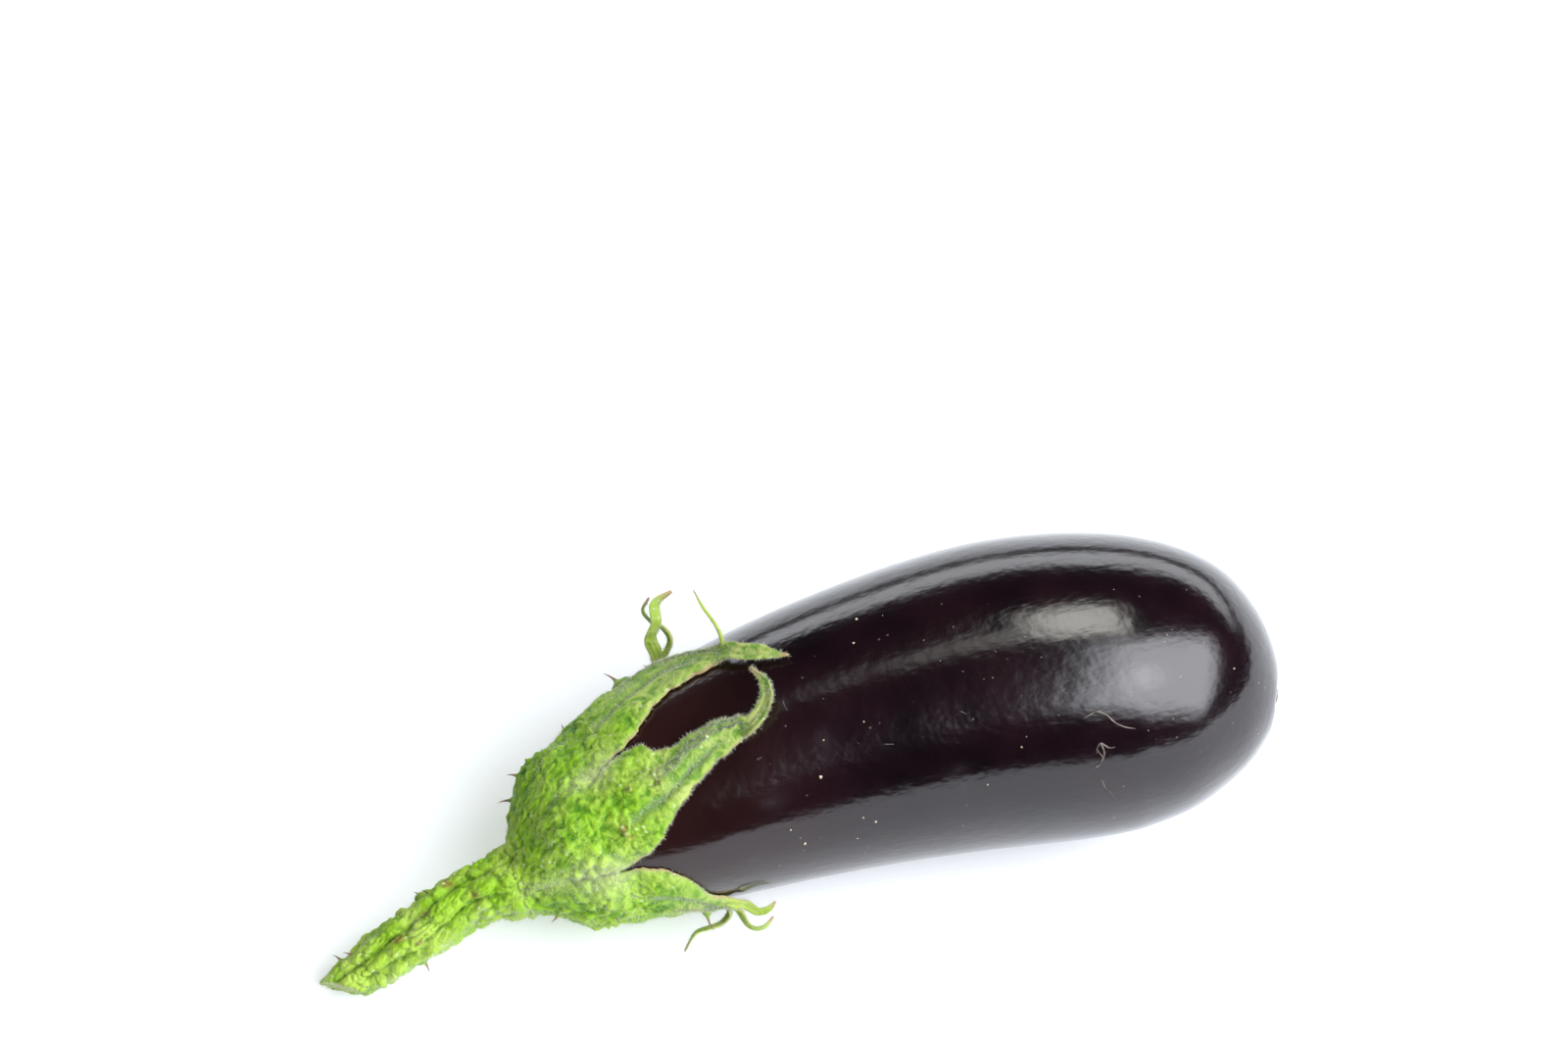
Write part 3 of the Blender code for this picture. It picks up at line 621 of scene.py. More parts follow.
def add_stalk(growth, root, even):
    """The stalk, grown on from the cup's first ring to its slanting cut."""
    shares = np.linspace(0.0, 1.0, STALK_ROWS + 1)
    centres, directions, side, up, radii, travel = stalk_frames(shares)
    turn = np.radians(even)[:, None]
    last = root
    for k in range(1, STALK_ROWS + 1):
        across = up[k] * np.cos(turn) + side[k] * np.sin(turn)
        ring = centres[k] + radii[k] * across
        lean = np.clip((travel[k] - travel[-1] + CUT_FADE) / CUT_FADE, 0.0, 1.0)
        back = math.tan(CUT_SLANT) * (radii[k] * (across @ side[k]) + radii[k]) * lean
        ring = ring - directions[k] * back[:, None]
        to_end = (travel[-1] - travel[k]) / ROUGH_END
        new = growth.add(ring, stalk=1.0, rough=0.35 + 0.65 * ease(to_end), turn=turn[:, 0],
                         travel=travel[k])
        growth.faces.extend(ring_faces(last, new))
        last = new
    rim = np.array([growth.points[k] for k in last])
    middle = rim.mean(axis=0)
    for k in range(1, CUT_ROWS):
        share = k / CUT_ROWS
        hollow = directions[-1] * (-CUT_HOLLOW * ease(share * 1.6) + 0.12 * math.sin(share * 19))
        new = growth.add(rim + (middle - rim) * share + hollow, stalk=1.0, cut=share ** 0.5)
        growth.faces.extend(ring_faces(last, new))
        last = new
    centre = growth.add([middle - directions[-1] * 0.45], stalk=1.0, cut=1.0)[0]
    growth.faces.extend(fan_faces(last[::-1], centre))


def add_lobe(growth, number, lobe, rim):
    """One lobe where it lies on the skin. Returns its last row of outer and inner points."""
    rim_reach, rim_around = rim_row(number)
    total = len(NOTCHES) * COLUMNS
    chosen = [(number * COLUMNS + k) % total for k in range(COLUMNS + 1)]
    root = ([rim[0][k] for k in chosen], [rim[1][k] for k in chosen])
    first_around = rim_around[0] + 360 * round((lobe["left"][0][1] - rim_around[0]) / 360)
    last_around = rim_around[-1] + 360 * round((lobe["right"][0][1] - rim_around[-1]) / 360)
    left = smooth([(rim_reach[0], first_around)] + lobe["left"], FINE)[1:]
    right = smooth([(rim_reach[-1], last_around)] + lobe["right"], FINE)[1:]
    share = np.linspace(0.0, 1.0, COLUMNS + 1)
    rows = []
    for k, (start, end) in enumerate(zip(left, right)):
        down = (k + 1) / len(left)
        free = ease((k + 1) / FINE)
        start = start + (0.0, free * RAGGED * (math.sin(k * 1.7 + number) + math.sin(k * 0.63)))
        end = end + (0.0, free * RAGGED * (math.sin(k * 1.4 + number) + math.sin(k * 0.77)))
        bulge = NOTCH_BULGE * np.sin(math.pi * share) * (1 - free)
        reach = start[0] + (end[0] - start[0]) * share + bulge
        around = start[1] + (end[1] - start[1]) * share
        width = np.linalg.norm(skin(start[0], start[1]) - skin(end[0], end[1]))
        from_rib, from_fold = ((share - lobe[line][0] - (lobe[line][1] - lobe[line][0]) * down)
                               * width for line in ("rib", "fold"))
        lines = bell((np.abs(from_rib) - RIB_LINES) / 0.45)
        rib = np.maximum(lines, 0.45 * bell(from_rib / 1.6)) * ease(down * 2.2 - 0.35)
        fold = bell(from_fold / 1.1) * ease(down * 4) * ease((1 - down) * 4)
        raised = RIB_RISE * bell(from_rib / 1.7) * ease(down * 3) - FOLD_DEPTH * fold
        thick = outer_lift(reach, lobe_body(share)) - HUG_LIFT
        lift = HUG_LIFT + (thick + raised) * edge_round(share, free)
        inland = (1 - np.abs(2 * share - 1)) * 0.5 * width
        margin = free * np.clip(1 - inland / DRY_MARGIN, 0.0, 1.0)
        rough = (0.14 + 0.56 * bell(down * 1.9)) * (1 - margin)
        notch = np.abs(2 * share - 1) ** 6 * bell(down * 7.0)
        outer = growth.add(skin(reach, around, lift), rough=rough, margin=margin, rib=rib,
                           fold=fold, shoulder=0.45 * (1 - down), notch=notch)
        inner = growth.add(skin(reach, around, HUG_LIFT), margin=margin, inside=1.0)
        rows.append((outer, inner))
    return growth.add_strip(root, rows, close=False)


def add_tip(growth, last, tip):
    """A pointed tip or a tendril that leaves the skin and follows its own path."""
    first, end, thickness, stations = tip
    part = (last[0][first * FINE:end * FINE + 1], last[1][first * FINE:end * FINE + 1])
    outer = np.array([growth.points[k] for k in part[0]])
    inner = np.array([growth.points[k] for k in part[1]])
    stations = np.array(stations)
    path = skin(stations[:, 0], stations[:, 1], stations[:, 2])
    start = (outer.mean(axis=0) + inner.mean(axis=0)) / 2
    half = stations[:, 3] * (TENDRIL_WIDTH if thickness < 1 else 1.0)
    half = np.concatenate([[np.linalg.norm(outer[-1] - outer[0]) / 2], half])
    line = smooth(np.column_stack([np.vstack([start, path]), half]), FINE)
    across = unit(outer[-1] - outer[0])
    share = np.linspace(-1.0, 1.0, len(part[0]))
    half_thick = TENDRIL_THICKNESS * thickness / 2 * np.sqrt(1 - 0.93 * share ** 4)
    leftover = None
    rows = []
    for k in range(len(line)):
        forward = unit(line[min(k + 1, len(line) - 1), :3] - line[max(k - 1, 0), :3])
        across = unit(across - forward * (across @ forward))
        below = np.cross(forward, across)
        done = k / (len(line) - 1)
        crease = TIP_CREASE * np.cos(3 * math.pi * share) * (1 - done) * min(line[k, 3] / 2, 1)
        trough = TIP_CUPPING * line[k, 3] * (share ** 2 - 0.4) + crease
        middle = line[k, :3] + across * (share * line[k, 3])[:, None] - below * trough[:, None]
        thin = (half_thick * (1 - 0.45 * done))[:, None]
        upper = middle - below * thin
        lower = middle + below * thin
        if leftover is None:
            leftover = (outer - upper, inner - lower)
            continue
        fade = 1 - ease(k / FINE)
        rib = bell((np.abs(share) - 0.22) / 0.13) * (1 - done) * (0.35 + 0.65 * fade)
        margin = np.clip((np.abs(share) - 0.72) / 0.28, 0.0, 1.0) * (1 - 0.5 * done)
        masks = {"margin": margin, "rib": rib, "tip": done, "rough": 0.08,
                 "fresh": 1.0 if thickness < 1 else 0.0}
        rows.append((growth.add(upper + leftover[0] * fade, **masks),
                     growth.add(lower + leftover[1] * fade, **masks)))
    growth.add_strip(part, rows, close=True)


def blisters(points, size, salt):
    """Distance shares of rounded blisters: height from 0 in a crease to 1 on top."""
    scaled = np.asarray(points) / size
    base = np.floor(scaled)
    nearest = np.full(len(scaled), 9.0)
    second = np.full(len(scaled), 9.0)
    for step in itertools.product((-1, 0, 1), repeat=3):
        cell = base + step
        centre = cell + np.stack([scatter(cell, salt + k) for k in range(3)], axis=-1)
        distance = np.linalg.norm(scaled - centre, axis=-1)
        second = np.minimum(second, np.maximum(distance, nearest))
        nearest = np.minimum(nearest, distance)
    return np.sqrt(np.clip((second - nearest) * 1.5, 0.0, 1.0)) * (1 - 0.45 * nearest ** 2)


def face_spans(points, faces):
    """The four corners of each face, and an outward vector twice as long as its area."""
    corners = np.array([face if len(face) == 4 else (*face, face[2]) for face in faces])
    return corners, np.cross(points[corners[:, 2]] - points[corners[:, 0]],
                             points[corners[:, 3]] - points[corners[:, 1]])


def point_normals(points, faces):
    """Outward direction at each point."""
    corners, spans = face_spans(points, faces)
    total = np.zeros_like(points)
    for k in range(4):
        np.add.at(total, corners[:, k], spans)
    return unit(total)


STALK_RIBS = 7
# Sizes of the lumps: the large and small ones of the cup, those of the stalk, and the grit
CUP_LUMPS = (3.4, 2.2)
STALK_LUMPS = 2.7
GRIT = 1.35
LUMP_HEIGHT = 1.35
GRIT_HEIGHT = 0.5
RIB_HEIGHT = 2.1
# Swollen knobs under the bigger prickles and on the cup as (reach, around, radius, height)
KNOBS = [(49, -57, 2.6, 2.3), (45.5, 115, 1.6, 1.0), (57, -52, 1.6, 0.8), (18, -48, 1.7, 0.9),
         (13.5, -64, 1.7, 0.9), (34, 270, 2.0, 1.2), (37.7, 19, 1.0, 0.5), (45, 23, 0.9, 0.4),
         (20, 112, 4.5, 1.3), (29, 116, 4.0, 1.2), (37, 119, 3.0, 0.9), (25, 88, 3.5, 0.8)]


def roughen(points, faces, masks):
    """Raise the blisters, ribs and wrinkles. Returns the new points and the blister height."""
    rough = masks["rough"] * (1 - masks["inside"]) * (1 - masks["cut"])
    stalk = ease(masks["stalk"])
    turn = masks["turn"]
    sleeve = np.stack([masks["travel"] * 0.55, 7 * np.cos(turn), 7 * np.sin(turn)], axis=-1)
    warped = points + 1.5 * np.stack([soft_noise(points, 4.5, 11 + k) for k in range(3)], axis=-1)
    patchy = ease(0.5 + 0.9 * soft_noise(points, 9.0, 14))
    large = blisters(warped, CUP_LUMPS[0], 6)
    cobbles = blisters(warped, CUP_LUMPS[1], 5) * patchy + large * (1 - patchy)
    height = cobbles * (1 - stalk)
    height += blisters(sleeve + 0.8 * (warped - points), STALK_LUMPS, 15) * stalk
    grit = blisters(warped, GRIT, 9)
    bend = 0.5 * np.sin(masks["travel"] / 8) + 0.25 * soft_noise(points, 6.0, 17)
    ribs = np.abs(np.sin(STALK_RIBS / 2 * turn + bend)) ** 0.6 - 0.65
    strength = 0.9 + 0.55 * masks["shoulder"] + 0.3 * stalk
    uneven = 0.75 + 0.6 * soft_noise(points, 4.0, 27)
    relief = (LUMP_HEIGHT * (height - 0.55) * strength * uneven + GRIT_HEIGHT * (grit - 0.5)
              + RIB_HEIGHT * ribs * stalk) * rough
    folds = (0.8 * soft_noise(points, 7.0, 21) * (1 - stalk) * np.minimum(rough * 2, 1)
             + 1.3 * np.maximum(soft_noise(points, 6.0, 23), 0) * stalk * rough)
    knobs = np.zeros(len(points))
    for reach, around, radius, rise in KNOBS:
        near = bell(np.linalg.norm(points - skin(reach, around, 2.0), axis=-1) / radius)
        knobs += rise * near * (1 - masks["inside"])
    moved = points + point_normals(points, faces) * (relief + folds + knobs)[:, None]
    return moved, np.clip(0.38 * height + 0.35 * grit + 0.35 * stalk * (ribs + 0.5), 0.0, 1.0)


def build_wrinkle_group():
    """Node group: winding ridges in two sizes, as one height from 0 to 1."""
    tree, start, end = new_group("winding_wrinkles", ("Scale",), ("Height",))
    parts = []
    for share, weight in ((1.0, 0.7), (2.1, 0.3)):
        scale = math_node(tree, "MULTIPLY", start["Scale"], share)
        noise = noise_node(tree, start["Place"], scale, 1.5, Distortion=0.5)
        away = math_node(tree, "ABSOLUTE", math_node(tree, "SUBTRACT", noise, 0.5))
        ridge = math_node(tree, "SUBTRACT", 1.0, math_node(tree, "MULTIPLY", away, 5.0))
        parts.append(math_node(tree, "MULTIPLY", ridge, weight))
    feed(tree, end, {"Height": math_node(tree, "ADD", *parts)})
    return tree


wrinkle_group = build_wrinkle_group()


def green_surface():
    """Blistered green: painted shade in creases, painted highlight on tops, dry brown margins, purple
    midribs.
    """
    made, tree, shader, place = new_surface("sepal_green")
    fine = speckle(tree, place, 1500.0, 110.0, 420.0, 0.16)
    winding = add_node(tree, "ShaderNodeGroup", {"Place": place, "Scale": 250.0},
                       node_tree=wrinkle_group).outputs["Height"]
    height = math_node(tree, "ADD", math_node(tree, "MULTIPLY", mask_of(tree, "height"), 0.75),
                       math_node(tree, "MULTIPLY", winding, 0.34))
    cloud = ramp(tree, fine["Cloud"], 0.3, 0.7)
    # Painted shade in the creases and painted highlight on the crowns, set by the blister height
    crease = blend_colours(tree, cloud, (0.050, 0.185, 0.005), (0.110, 0.260, 0.008))
    crown_with_painted_highlight = blend_colours(tree, cloud, (0.250, 0.480, 0.012), (0.385, 0.555, 0.070))
    lobe = blend_colours(tree, cloud, (0.250, 0.420, 0.050), (0.450, 0.510, 0.150))
    # Painted shade: the lobes are darker down in the valleys of the winding wrinkles
    lobe = blend_colours(tree, ramp(tree, winding, 0.1, 0.9), (0.140, 0.290, 0.030), lobe)
    dusk = math_node(tree, "MULTIPLY", mask_of(tree, "rib"), ramp(tree, fine["Grain"], 0.25, 0.5))
    hue = coats(tree, crease, (ramp(tree, height, 0.16, 0.66), crown_with_painted_highlight), ("leaf", lobe),
                ("fresh", (0.360, 0.500, 0.060)), ("pale", (0.560, 0.680, 0.230)),
                # Painted shade: darker green-grey along the sunken lengthwise fold of each lobe
                ("fold", (0.110, 0.210, 0.090)), (dusk, (0.105, 0.080, 0.100)),
                ("scab", (0.210, 0.130, 0.030)), ("dry", (0.430, 0.270, 0.150)),
                ("cut", (0.450, 0.480, 0.220)),
                (math_node(tree, "MULTIPLY", fine["Speck"], 0.7), (0.560, 0.650, 0.380)))
    worn = add_node(tree, "ShaderNodeMapRange", {"Value": height, "To Min": 0.62, "To Max": 0.42})
    feed(tree, shader, {"Base Color": hue, "Roughness": worn.outputs["Result"],
                        "Specular IOR Level": 0.22, "Sheen Weight": 0.06, "Sheen Roughness": 0.4,
                        "Subsurface Weight": 0.12, "Subsurface Radius": (0.0006, 0.0010, 0.0003)})
    relief = math_node(tree, "ADD", winding, math_node(tree, "MULTIPLY", fine["Grain"], 0.6))
    add_bump(tree, shader, relief, 0.55, 0.0006)
    return made


# Brown scabs on the calyx as (reach, around, radius) and on the stalk as (travel, turn, radius)
CALYX_SCABS = [(37.7, 19, 0.9), (45, 23, 0.8), (52, 21, 0.7), (32.3, 36, 1.3), (33.5, 41, 1.1),
               (20, -12, 0.6), (24, 40, 0.6), (60, 13, 0.5)]
STALK_SCABS = [(33, 20, 1.6), (29, 42, 1.5), (16, -25, 1.7), (10, 30, 1.2), (24, 5, 1.0)]
SCAB_TRAVEL = 57.0          # travel that stands for the whole stalk in the rows above


def scab_mask(points):
    """How brown each point is, from its distance to the scabs."""
    centres = [(skin(reach, around, 3.0), radius) for reach, around, radius in CALYX_SCABS]
    for travel, around, radius in STALK_SCABS:
        centre, _, side, up, girth, _ = stalk_frames(np.array([travel / SCAB_TRAVEL]))
        turn = math.radians(around)
        outward = up[0] * math.cos(turn) + side[0] * math.sin(turn)
        centres.append((centre[0] + outward * girth[0], radius))
    ragged = 1 + 0.45 * soft_noise(points, 1.1, 31)
    total = np.zeros(len(points))
    for centre, radius in centres:
        distance = np.linalg.norm(points - centre, axis=-1) / (radius * ragged)
        total = np.maximum(total, ease((1.25 - distance) / 0.6))
    return total


def add_growth():
    """The calyx and stalk as one closed body."""
    growth = Growth()
    joint_ring, rim, even = add_cup(growth)
    add_stalk(growth, joint_ring, even)
    for number, lobe in enumerate(LOBES.values()):
        last = add_lobe(growth, number, lobe, rim)
        for tip in lobe["tips"]:
            add_tip(growth, last, tip)
    masks = {name: np.array(values, dtype=float) for name, values in growth.masks.items()}
    points, height = roughen(np.array(growth.points), growth.faces, masks)
    leaf = (1 - masks["stalk"]) * (1 - masks["shoulder"]) * ease(1.4 - 2 * masks["rough"])
    patchy = 0.75 + 0.5 * soft_noise(points, 3.0, 41)
    dry = np.maximum(ease((masks["margin"] - 0.5) / 0.4) * np.clip(patchy, 0, 1),
                     ease((masks["tip"] - 0.80) / 0.18) * 0.9)
    kept = {"height": height, "leaf": np.clip(leaf, 0, 1), "pale": masks["notch"], "dry": dry,
            "rib": masks["rib"] * 0.9, "fold": masks["fold"] * 0.6, "cut": masks["cut"],
            "fresh": masks["fresh"] * 0.85, "scab": scab_mask(points) * 0.75}
    piece = add_mesh("calyx_and_stalk", points, growth.faces, green_surface(), kept)
    return piece, points, growth.faces, masks


growth_piece, growth_points, growth_faces, growth_masks = add_growth()
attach(growth_piece, "root")
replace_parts(growth_piece, "calyx", "stem")

# ---------------------------------------------------------------------------------------------
# Prickles. Thin hooked thorns that stand on the calyx and stalk, each on a swollen green foot.
# They are woody, brown to purple, and paler at the very tip.
# ---------------------------------------------------------------------------------------------
PRICKLE_LENGTH = 4.2
PRICKLE_SIDES = 12
PRICKLE_SINK = 0.5
PRICKLE_HOOK = 0.28         # how far the tip bends over, as a share of the length
PRICKLE_UPRIGHT = 1.5       # how much more a prickle follows the plain shape than its own lump
STALK_FOOT = 1.7            # width of the foot of the prickles on the stalk
SEARCH_HEIGHT = 40.0        # height from which the growth under a prickle is looked for
# Rings as (share of height, radius), from the sunken foot to just under the tip
PRICKLE_RINGS = [(-0.12, 1.25), (0.0, 1.15), (0.06, 0.95), (0.12, 0.68), (0.2, 0.47), (0.32, 0.36),
                 (0.46, 0.28), (0.6, 0.21), (0.74, 0.145), (0.87, 0.085), (0.96, 0.04)]
# On the calyx as (reach, around, share of full length, hook: 1 to the lobe's tip, -1 to the stalk,
# width of the foot)
CALYX_PRICKLES = [(18, -48, 0.7, -1, 1), (13.5, -66, 0.9, -1, 1), (48, -59, 1.15, -1, 1.9),
                  (37.7, 19, 0.5, 1, 0.8), (45, 23, 0.5, -1, 0.8), (32.3, 38.5, 0.8, 1, 1),
                  (45.5, 115, 1.1, 1, 1), (13, 100, 0.6, -1, 1), (24, 92, 0.5, 1, 0.8),
                  (34, 270, 1.0, 1, 1), (22, 232, 0.9, -1, 1), (40, 224, 0.8, 1, 1)]
# On the stalk as (share of route, around, share of full length)
STALK_PRICKLES = [(0.16, -60, 0.5), (0.37, -55, 0.75), (0.43, -80, 0.65), (0.80, -50, 0.85),
                  (0.87, -80, 0.7), (0.56, 118, 0.85), (0.24, 150, 0.5), (0.63, 200, 0.7)]
# Two tiny ones beside the big one on the upper lobe
TINY_PRICKLES = [(55.5, -54, 0.4, -1, 0.5), (58.2, -50, 0.35, -1, 0.5)]


def prickle_surface():
    """Green at the foot, then brown to purple wood, paler at the tip."""
    made, tree, shader, place = new_surface("prickle_wood")
    fine = speckle(tree, place, 2600.0, 500.0, 900.0, 0.1)
    up = mask_of(tree, "up")
    hue = coats(tree, (0.220, 0.360, 0.035), (ramp(tree, up, 0.16, 0.36), (0.260, 0.160, 0.085)),
                (ramp(tree, up, 0.40, 0.75), (0.170, 0.070, 0.070)),
                (ramp(tree, up, 0.85, 1.0), (0.320, 0.190, 0.130)),
                (ramp(tree, fine["Cloud"], 0.55, 0.9), (0.090, 0.055, 0.040)))
    feed(tree, shader, {"Base Color": hue, "Roughness": 0.42})
    add_bump(tree, shader, fine["Grain"], 0.3, 0.0002)
    return made


growth_tree = BVHTree.FromPolygons(growth_points.tolist(), growth_faces)
prickle_wood = prickle_surface()


def add_prickle(name, start, inward, hook, share, foot):
    """A prickle where the ray from start meets the growth, hooked one way."""
    place, normal, _, _ = growth_tree.ray_cast(Vector(start), Vector(inward))
    normal = (normal - Vector(inward) * PRICKLE_UPRIGHT).normalized()
    along = (Vector(hook) - normal * normal.dot(Vector(hook))).normalized()
    turned = np.array([along, normal.cross(along), normal])
    length = PRICKLE_LENGTH * share
    turn = 2 * math.pi * np.arange(PRICKLE_SIDES) / PRICKLE_SIDES
    points = []
    faces = []
    rings = []
    for height, radius in PRICKLE_RINGS:
        wide = radius * (0.6 + 0.4 * share) * (1 + (foot - 1) * ease((0.35 - height) / 0.35))
        bend = PRICKLE_HOOK * length * max(height, 0) ** 2.2
        level = height * length - PRICKLE_SINK * (height < 0)
        rings.append(np.column_stack([wide * np.cos(turn) + bend, wide * np.sin(turn),
                                      np.full(PRICKLE_SIDES, level)]))
    add_tube(points, faces, rings, (0.0, 0.0, -PRICKLE_SINK - 0.12 * length),
             (PRICKLE_HOOK * length, 0.0, length))
    up = [height for height, _ in PRICKLE_RINGS for _ in range(PRICKLE_SIDES)] + [-0.1, 1.0]
    placed = np.array(place) + np.array(points) @ turned
    piece = add_mesh(name, placed, faces, prickle_wood, {"up": up})
    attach(piece, "root")
    return piece


def over_calyx(reach, around, hook):
    """Start, inward direction and hook direction of a prickle on the calyx."""
    start = skin(reach, around, SEARCH_HEIGHT)
    place = skin(reach, around)
    return start, unit(place - start), unit(skin(reach + 1, around) - place) * hook


def over_stalk(share, around):
    """Start, inward direction and hook direction of a prickle on the stalk."""
    centre, direction, side, up, _, _ = stalk_frames(np.array([share]))
    turn = math.radians(around)
    outward = up[0] * math.cos(turn) + side[0] * math.sin(turn)
    return centre[0] + outward * SEARCH_HEIGHT, -outward, direction[0]


places = [(over_calyx(reach, around, hook), share, foot)
          for reach, around, share, hook, foot in CALYX_PRICKLES]
places += [(over_stalk(along, around), share, STALK_FOOT)
           for along, around, share in STALK_PRICKLES]
for number, (place, share, foot) in enumerate(places, 1):
    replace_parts(add_prickle(f"thorn_{number:02d}", *place, share, foot), f"prickle_{number:02d}")
for number, (reach, around, share, hook, foot) in enumerate(TINY_PRICKLES, 1):
    add_prickle(f"tiny_thorn_{number}", *over_calyx(reach, around, hook), share, foot)

# ---------------------------------------------------------------------------------------------
# Fuzz. Short whitish hairs that cover the young green growth, thickest along margins, midribs,
# folds and the valleys between the lobes. They grow from the calyx and stalk.
# ---------------------------------------------------------------------------------------------
HAIR_COUNT = 34000
HAIR_RADIUS = 0.05
HAIR_LENGTHS = (0.4, 1.15)
HAIR_LEAN = 0.38            # how unevenly the hairs stand
HAIR_SINK = 0.15            # depth of a hair's foot in the growth
HAIR_CLEAR = 0.05           # least height of a hair over the surface that the fruit lies on


def fuzz_surface():
    """Whitish dry hair."""
    made, tree, shader, place = new_surface("white_fuzz")
    fine = speckle(tree, place, 1200.0, 90.0, 500.0, 0.1)
    hue = blend_colours(tree, fine["Cloud"], (0.520, 0.600, 0.380), (0.800, 0.820, 0.680))
    feed(tree, shader, {"Base Color": hue, "Roughness": 0.7, "Specular IOR Level": 0.2})
    return made


def add_fuzz():
    """Every hair as a thin closed spike, in one mesh."""
    chance = np.random.default_rng(7)
    corners, normals = face_spans(growth_points, growth_faces)
    area = np.linalg.norm(normals, axis=-1) / 2
    masks = growth_masks
    thick = (0.07 + 2.0 * masks["margin"] + 1.6 * masks["rib"] + 1.6 * masks["fold"]
             + 3.0 * masks["notch"] + 0.8 * masks["tip"]
             + 0.7 * np.maximum(soft_noise(growth_points, 6.0, 51), 0) ** 1.5
             + 1.2 * masks["stalk"] * np.maximum(np.sin(masks["turn"] - 0.6), 0) ** 2)
    thick = thick * (1 - masks["inside"]) * (1 - masks["cut"])
    weight = area * thick[corners].mean(axis=1)
    chosen = chance.choice(len(corners), HAIR_COUNT, p=weight / weight.sum())
    mix = chance.dirichlet((1, 1, 1, 1), HAIR_COUNT)
    roots = (growth_points[corners[chosen]] * mix[:, :, None]).sum(axis=1)
    outward = unit(normals[chosen])
    stand = unit(outward + chance.normal(0, HAIR_LEAN, (HAIR_COUNT, 3)))
    length = chance.uniform(*HAIR_LENGTHS, HAIR_COUNT)[:, None]
    first = unit(np.cross(stand, chance.normal(0, 1, (HAIR_COUNT, 3))))
    second = np.cross(stand, first)
    foot = roots - outward * HAIR_SINK
    points = np.empty((HAIR_COUNT, 4, 3))
    for k in range(3):
        turn = 2 * math.pi * k / 3
        points[:, k] = foot + HAIR_RADIUS * (first * math.cos(turn) + second * math.sin(turn))
    points[:, 3] = roots + stand * length
    points[:, :, 2] = np.maximum(points[:, :, 2], HAIR_CLEAR)
    faces = []
    for start in range(0, 4 * HAIR_COUNT, 4):
        faces += [(start, start + 1, start + 3), (start + 1, start + 2, start + 3),
                  (start + 2, start, start + 3), (start, start + 2, start + 1)]
    piece = add_mesh("calyx_fuzz", points.reshape(-1, 3), faces, fuzz_surface())
    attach(piece, "root")


add_fuzz()

# ---------------------------------------------------------------------------------------------
# Marks on the skin. Healed scars, a curled dry thread, fine scratches and cream specks, all of
# dried corky tissue that sits in or just on the skin of the fruit.
# ---------------------------------------------------------------------------------------------
# Strokes as (radius, stations of (reach, around)), and specks as (reach, around, radius)
THREAD = [(0.15, [(156, 46), (157.8, 45), (159.6, 44), (162.3, 45.5), (164.6, 48.5), (167.3, 50.5),
                  (170.4, 51.5)])]
CORKY_SCAR = [(0.20, [(159.2, 58), (160.5, 56), (162.8, 58), (164.6, 58)]),
              (0.22, [(160.5, 56), (161.4, 60), (160.1, 64), (158.3, 65.5)]),
              (0.16, [(159.2, 58), (160.2, 60), (161, 61.5)]),
              (0.10, [(160.5, 71), (161.4, 74.5), (163.2, 77.5), (164.6, 81.5)])]
SCRATCHES = [(0.06, [(80.1, 11), (80, 13.5), (80.3, 16)]), (0.06, [(134, 17.5), (134.9, 18.5)]),
             (0.05, [(101, 41), (103.5, 42)]), (0.05, [(122, 36), (123.4, 37.6)]),
             (0.06, [(112, -36), (115.5, -35)]), (0.08, [(120, 148), (124, 151), (126, 150)])]
SPECKS = [(103.9, -12.5, 0.34), (101.2, -1.5, 0.30), (82.8, 46.5, 0.42), (94, 73, 0.32),
          (90.9, 69.5, 0.26), (73.8, 75.5, 0.42), (71.1, 66, 0.22), (97.6, 30.5, 0.20),
          (137.2, 53.5, 0.24), (206.8, 26, 0.20), (197.4, 22.5, 0.20), (209.1, 74, 0.20),
          (86.4, 32.5, 0.22), (125.5, 66, 0.22), (88.2, 80, 0.18)]
LOOSE_SPECKS = 60
ROUND = np.arange(8)[:, None] * math.pi / 4     # turn of each side of a stroke or speck
ROUND_COS = np.cos(ROUND)
ROUND_SIN = np.sin(ROUND)
# Rings of a speck as (share of its radius, share of the radius in height)
SPECK_RINGS = ((1.0, -0.25), (0.95, 0.22), (0.6, 0.42))
SPECK_PROUD = 0.05          # height by which every speck stands out more


def cork_surface(name, dark, light):
    """Dried corky tissue between two colours."""
    made, tree, shader, place = new_surface(name)
    fine = speckle(tree, place, 3000.0, 700.0, 900.0, 0.1)
    hue = blend_colours(tree, ramp(tree, fine["Cloud"], 0.35, 0.65), dark, light)
    feed(tree, shader, {"Base Color": hue, "Roughness": 0.6})
    add_bump(tree, shader, fine["Grain"], 0.5, 0.0002)
    return made


def add_strokes(name, strokes, surface, lift):
    """Thin uneven closed tubes that run over the skin, in one mesh."""
    points = []
    faces = []
    for radius, stations in strokes:
        line = smooth(stations, 6)
        centres = on_skin(line[:, 0], line[:, 1], lift)
        along = unit(np.gradient(centres, axis=0))
        outward = unit(skin(line[:, 0], line[:, 1], 1.0) - skin(line[:, 0], line[:, 1]))
        across = np.cross(along, outward)
        uneven = 1 + 0.35 * soft_noise(centres, 0.8, 61)
        taper = np.sqrt(np.clip(1 - np.linspace(-1, 1, len(line)) ** 8, 0.12, 1))
        wide = (radius * uneven * taper)[:, None, None]
        rings = centres[:, None] + wide * (across[:, None] * ROUND_COS
                                           + 0.7 * outward[:, None] * ROUND_SIN)
        cap = 0.3 * radius
        add_tube(points, faces, rings, centres[0] - along[0] * cap, centres[-1] + along[-1] * cap)
    piece = add_mesh(name, points, faces, surface)
    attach(piece, "root")


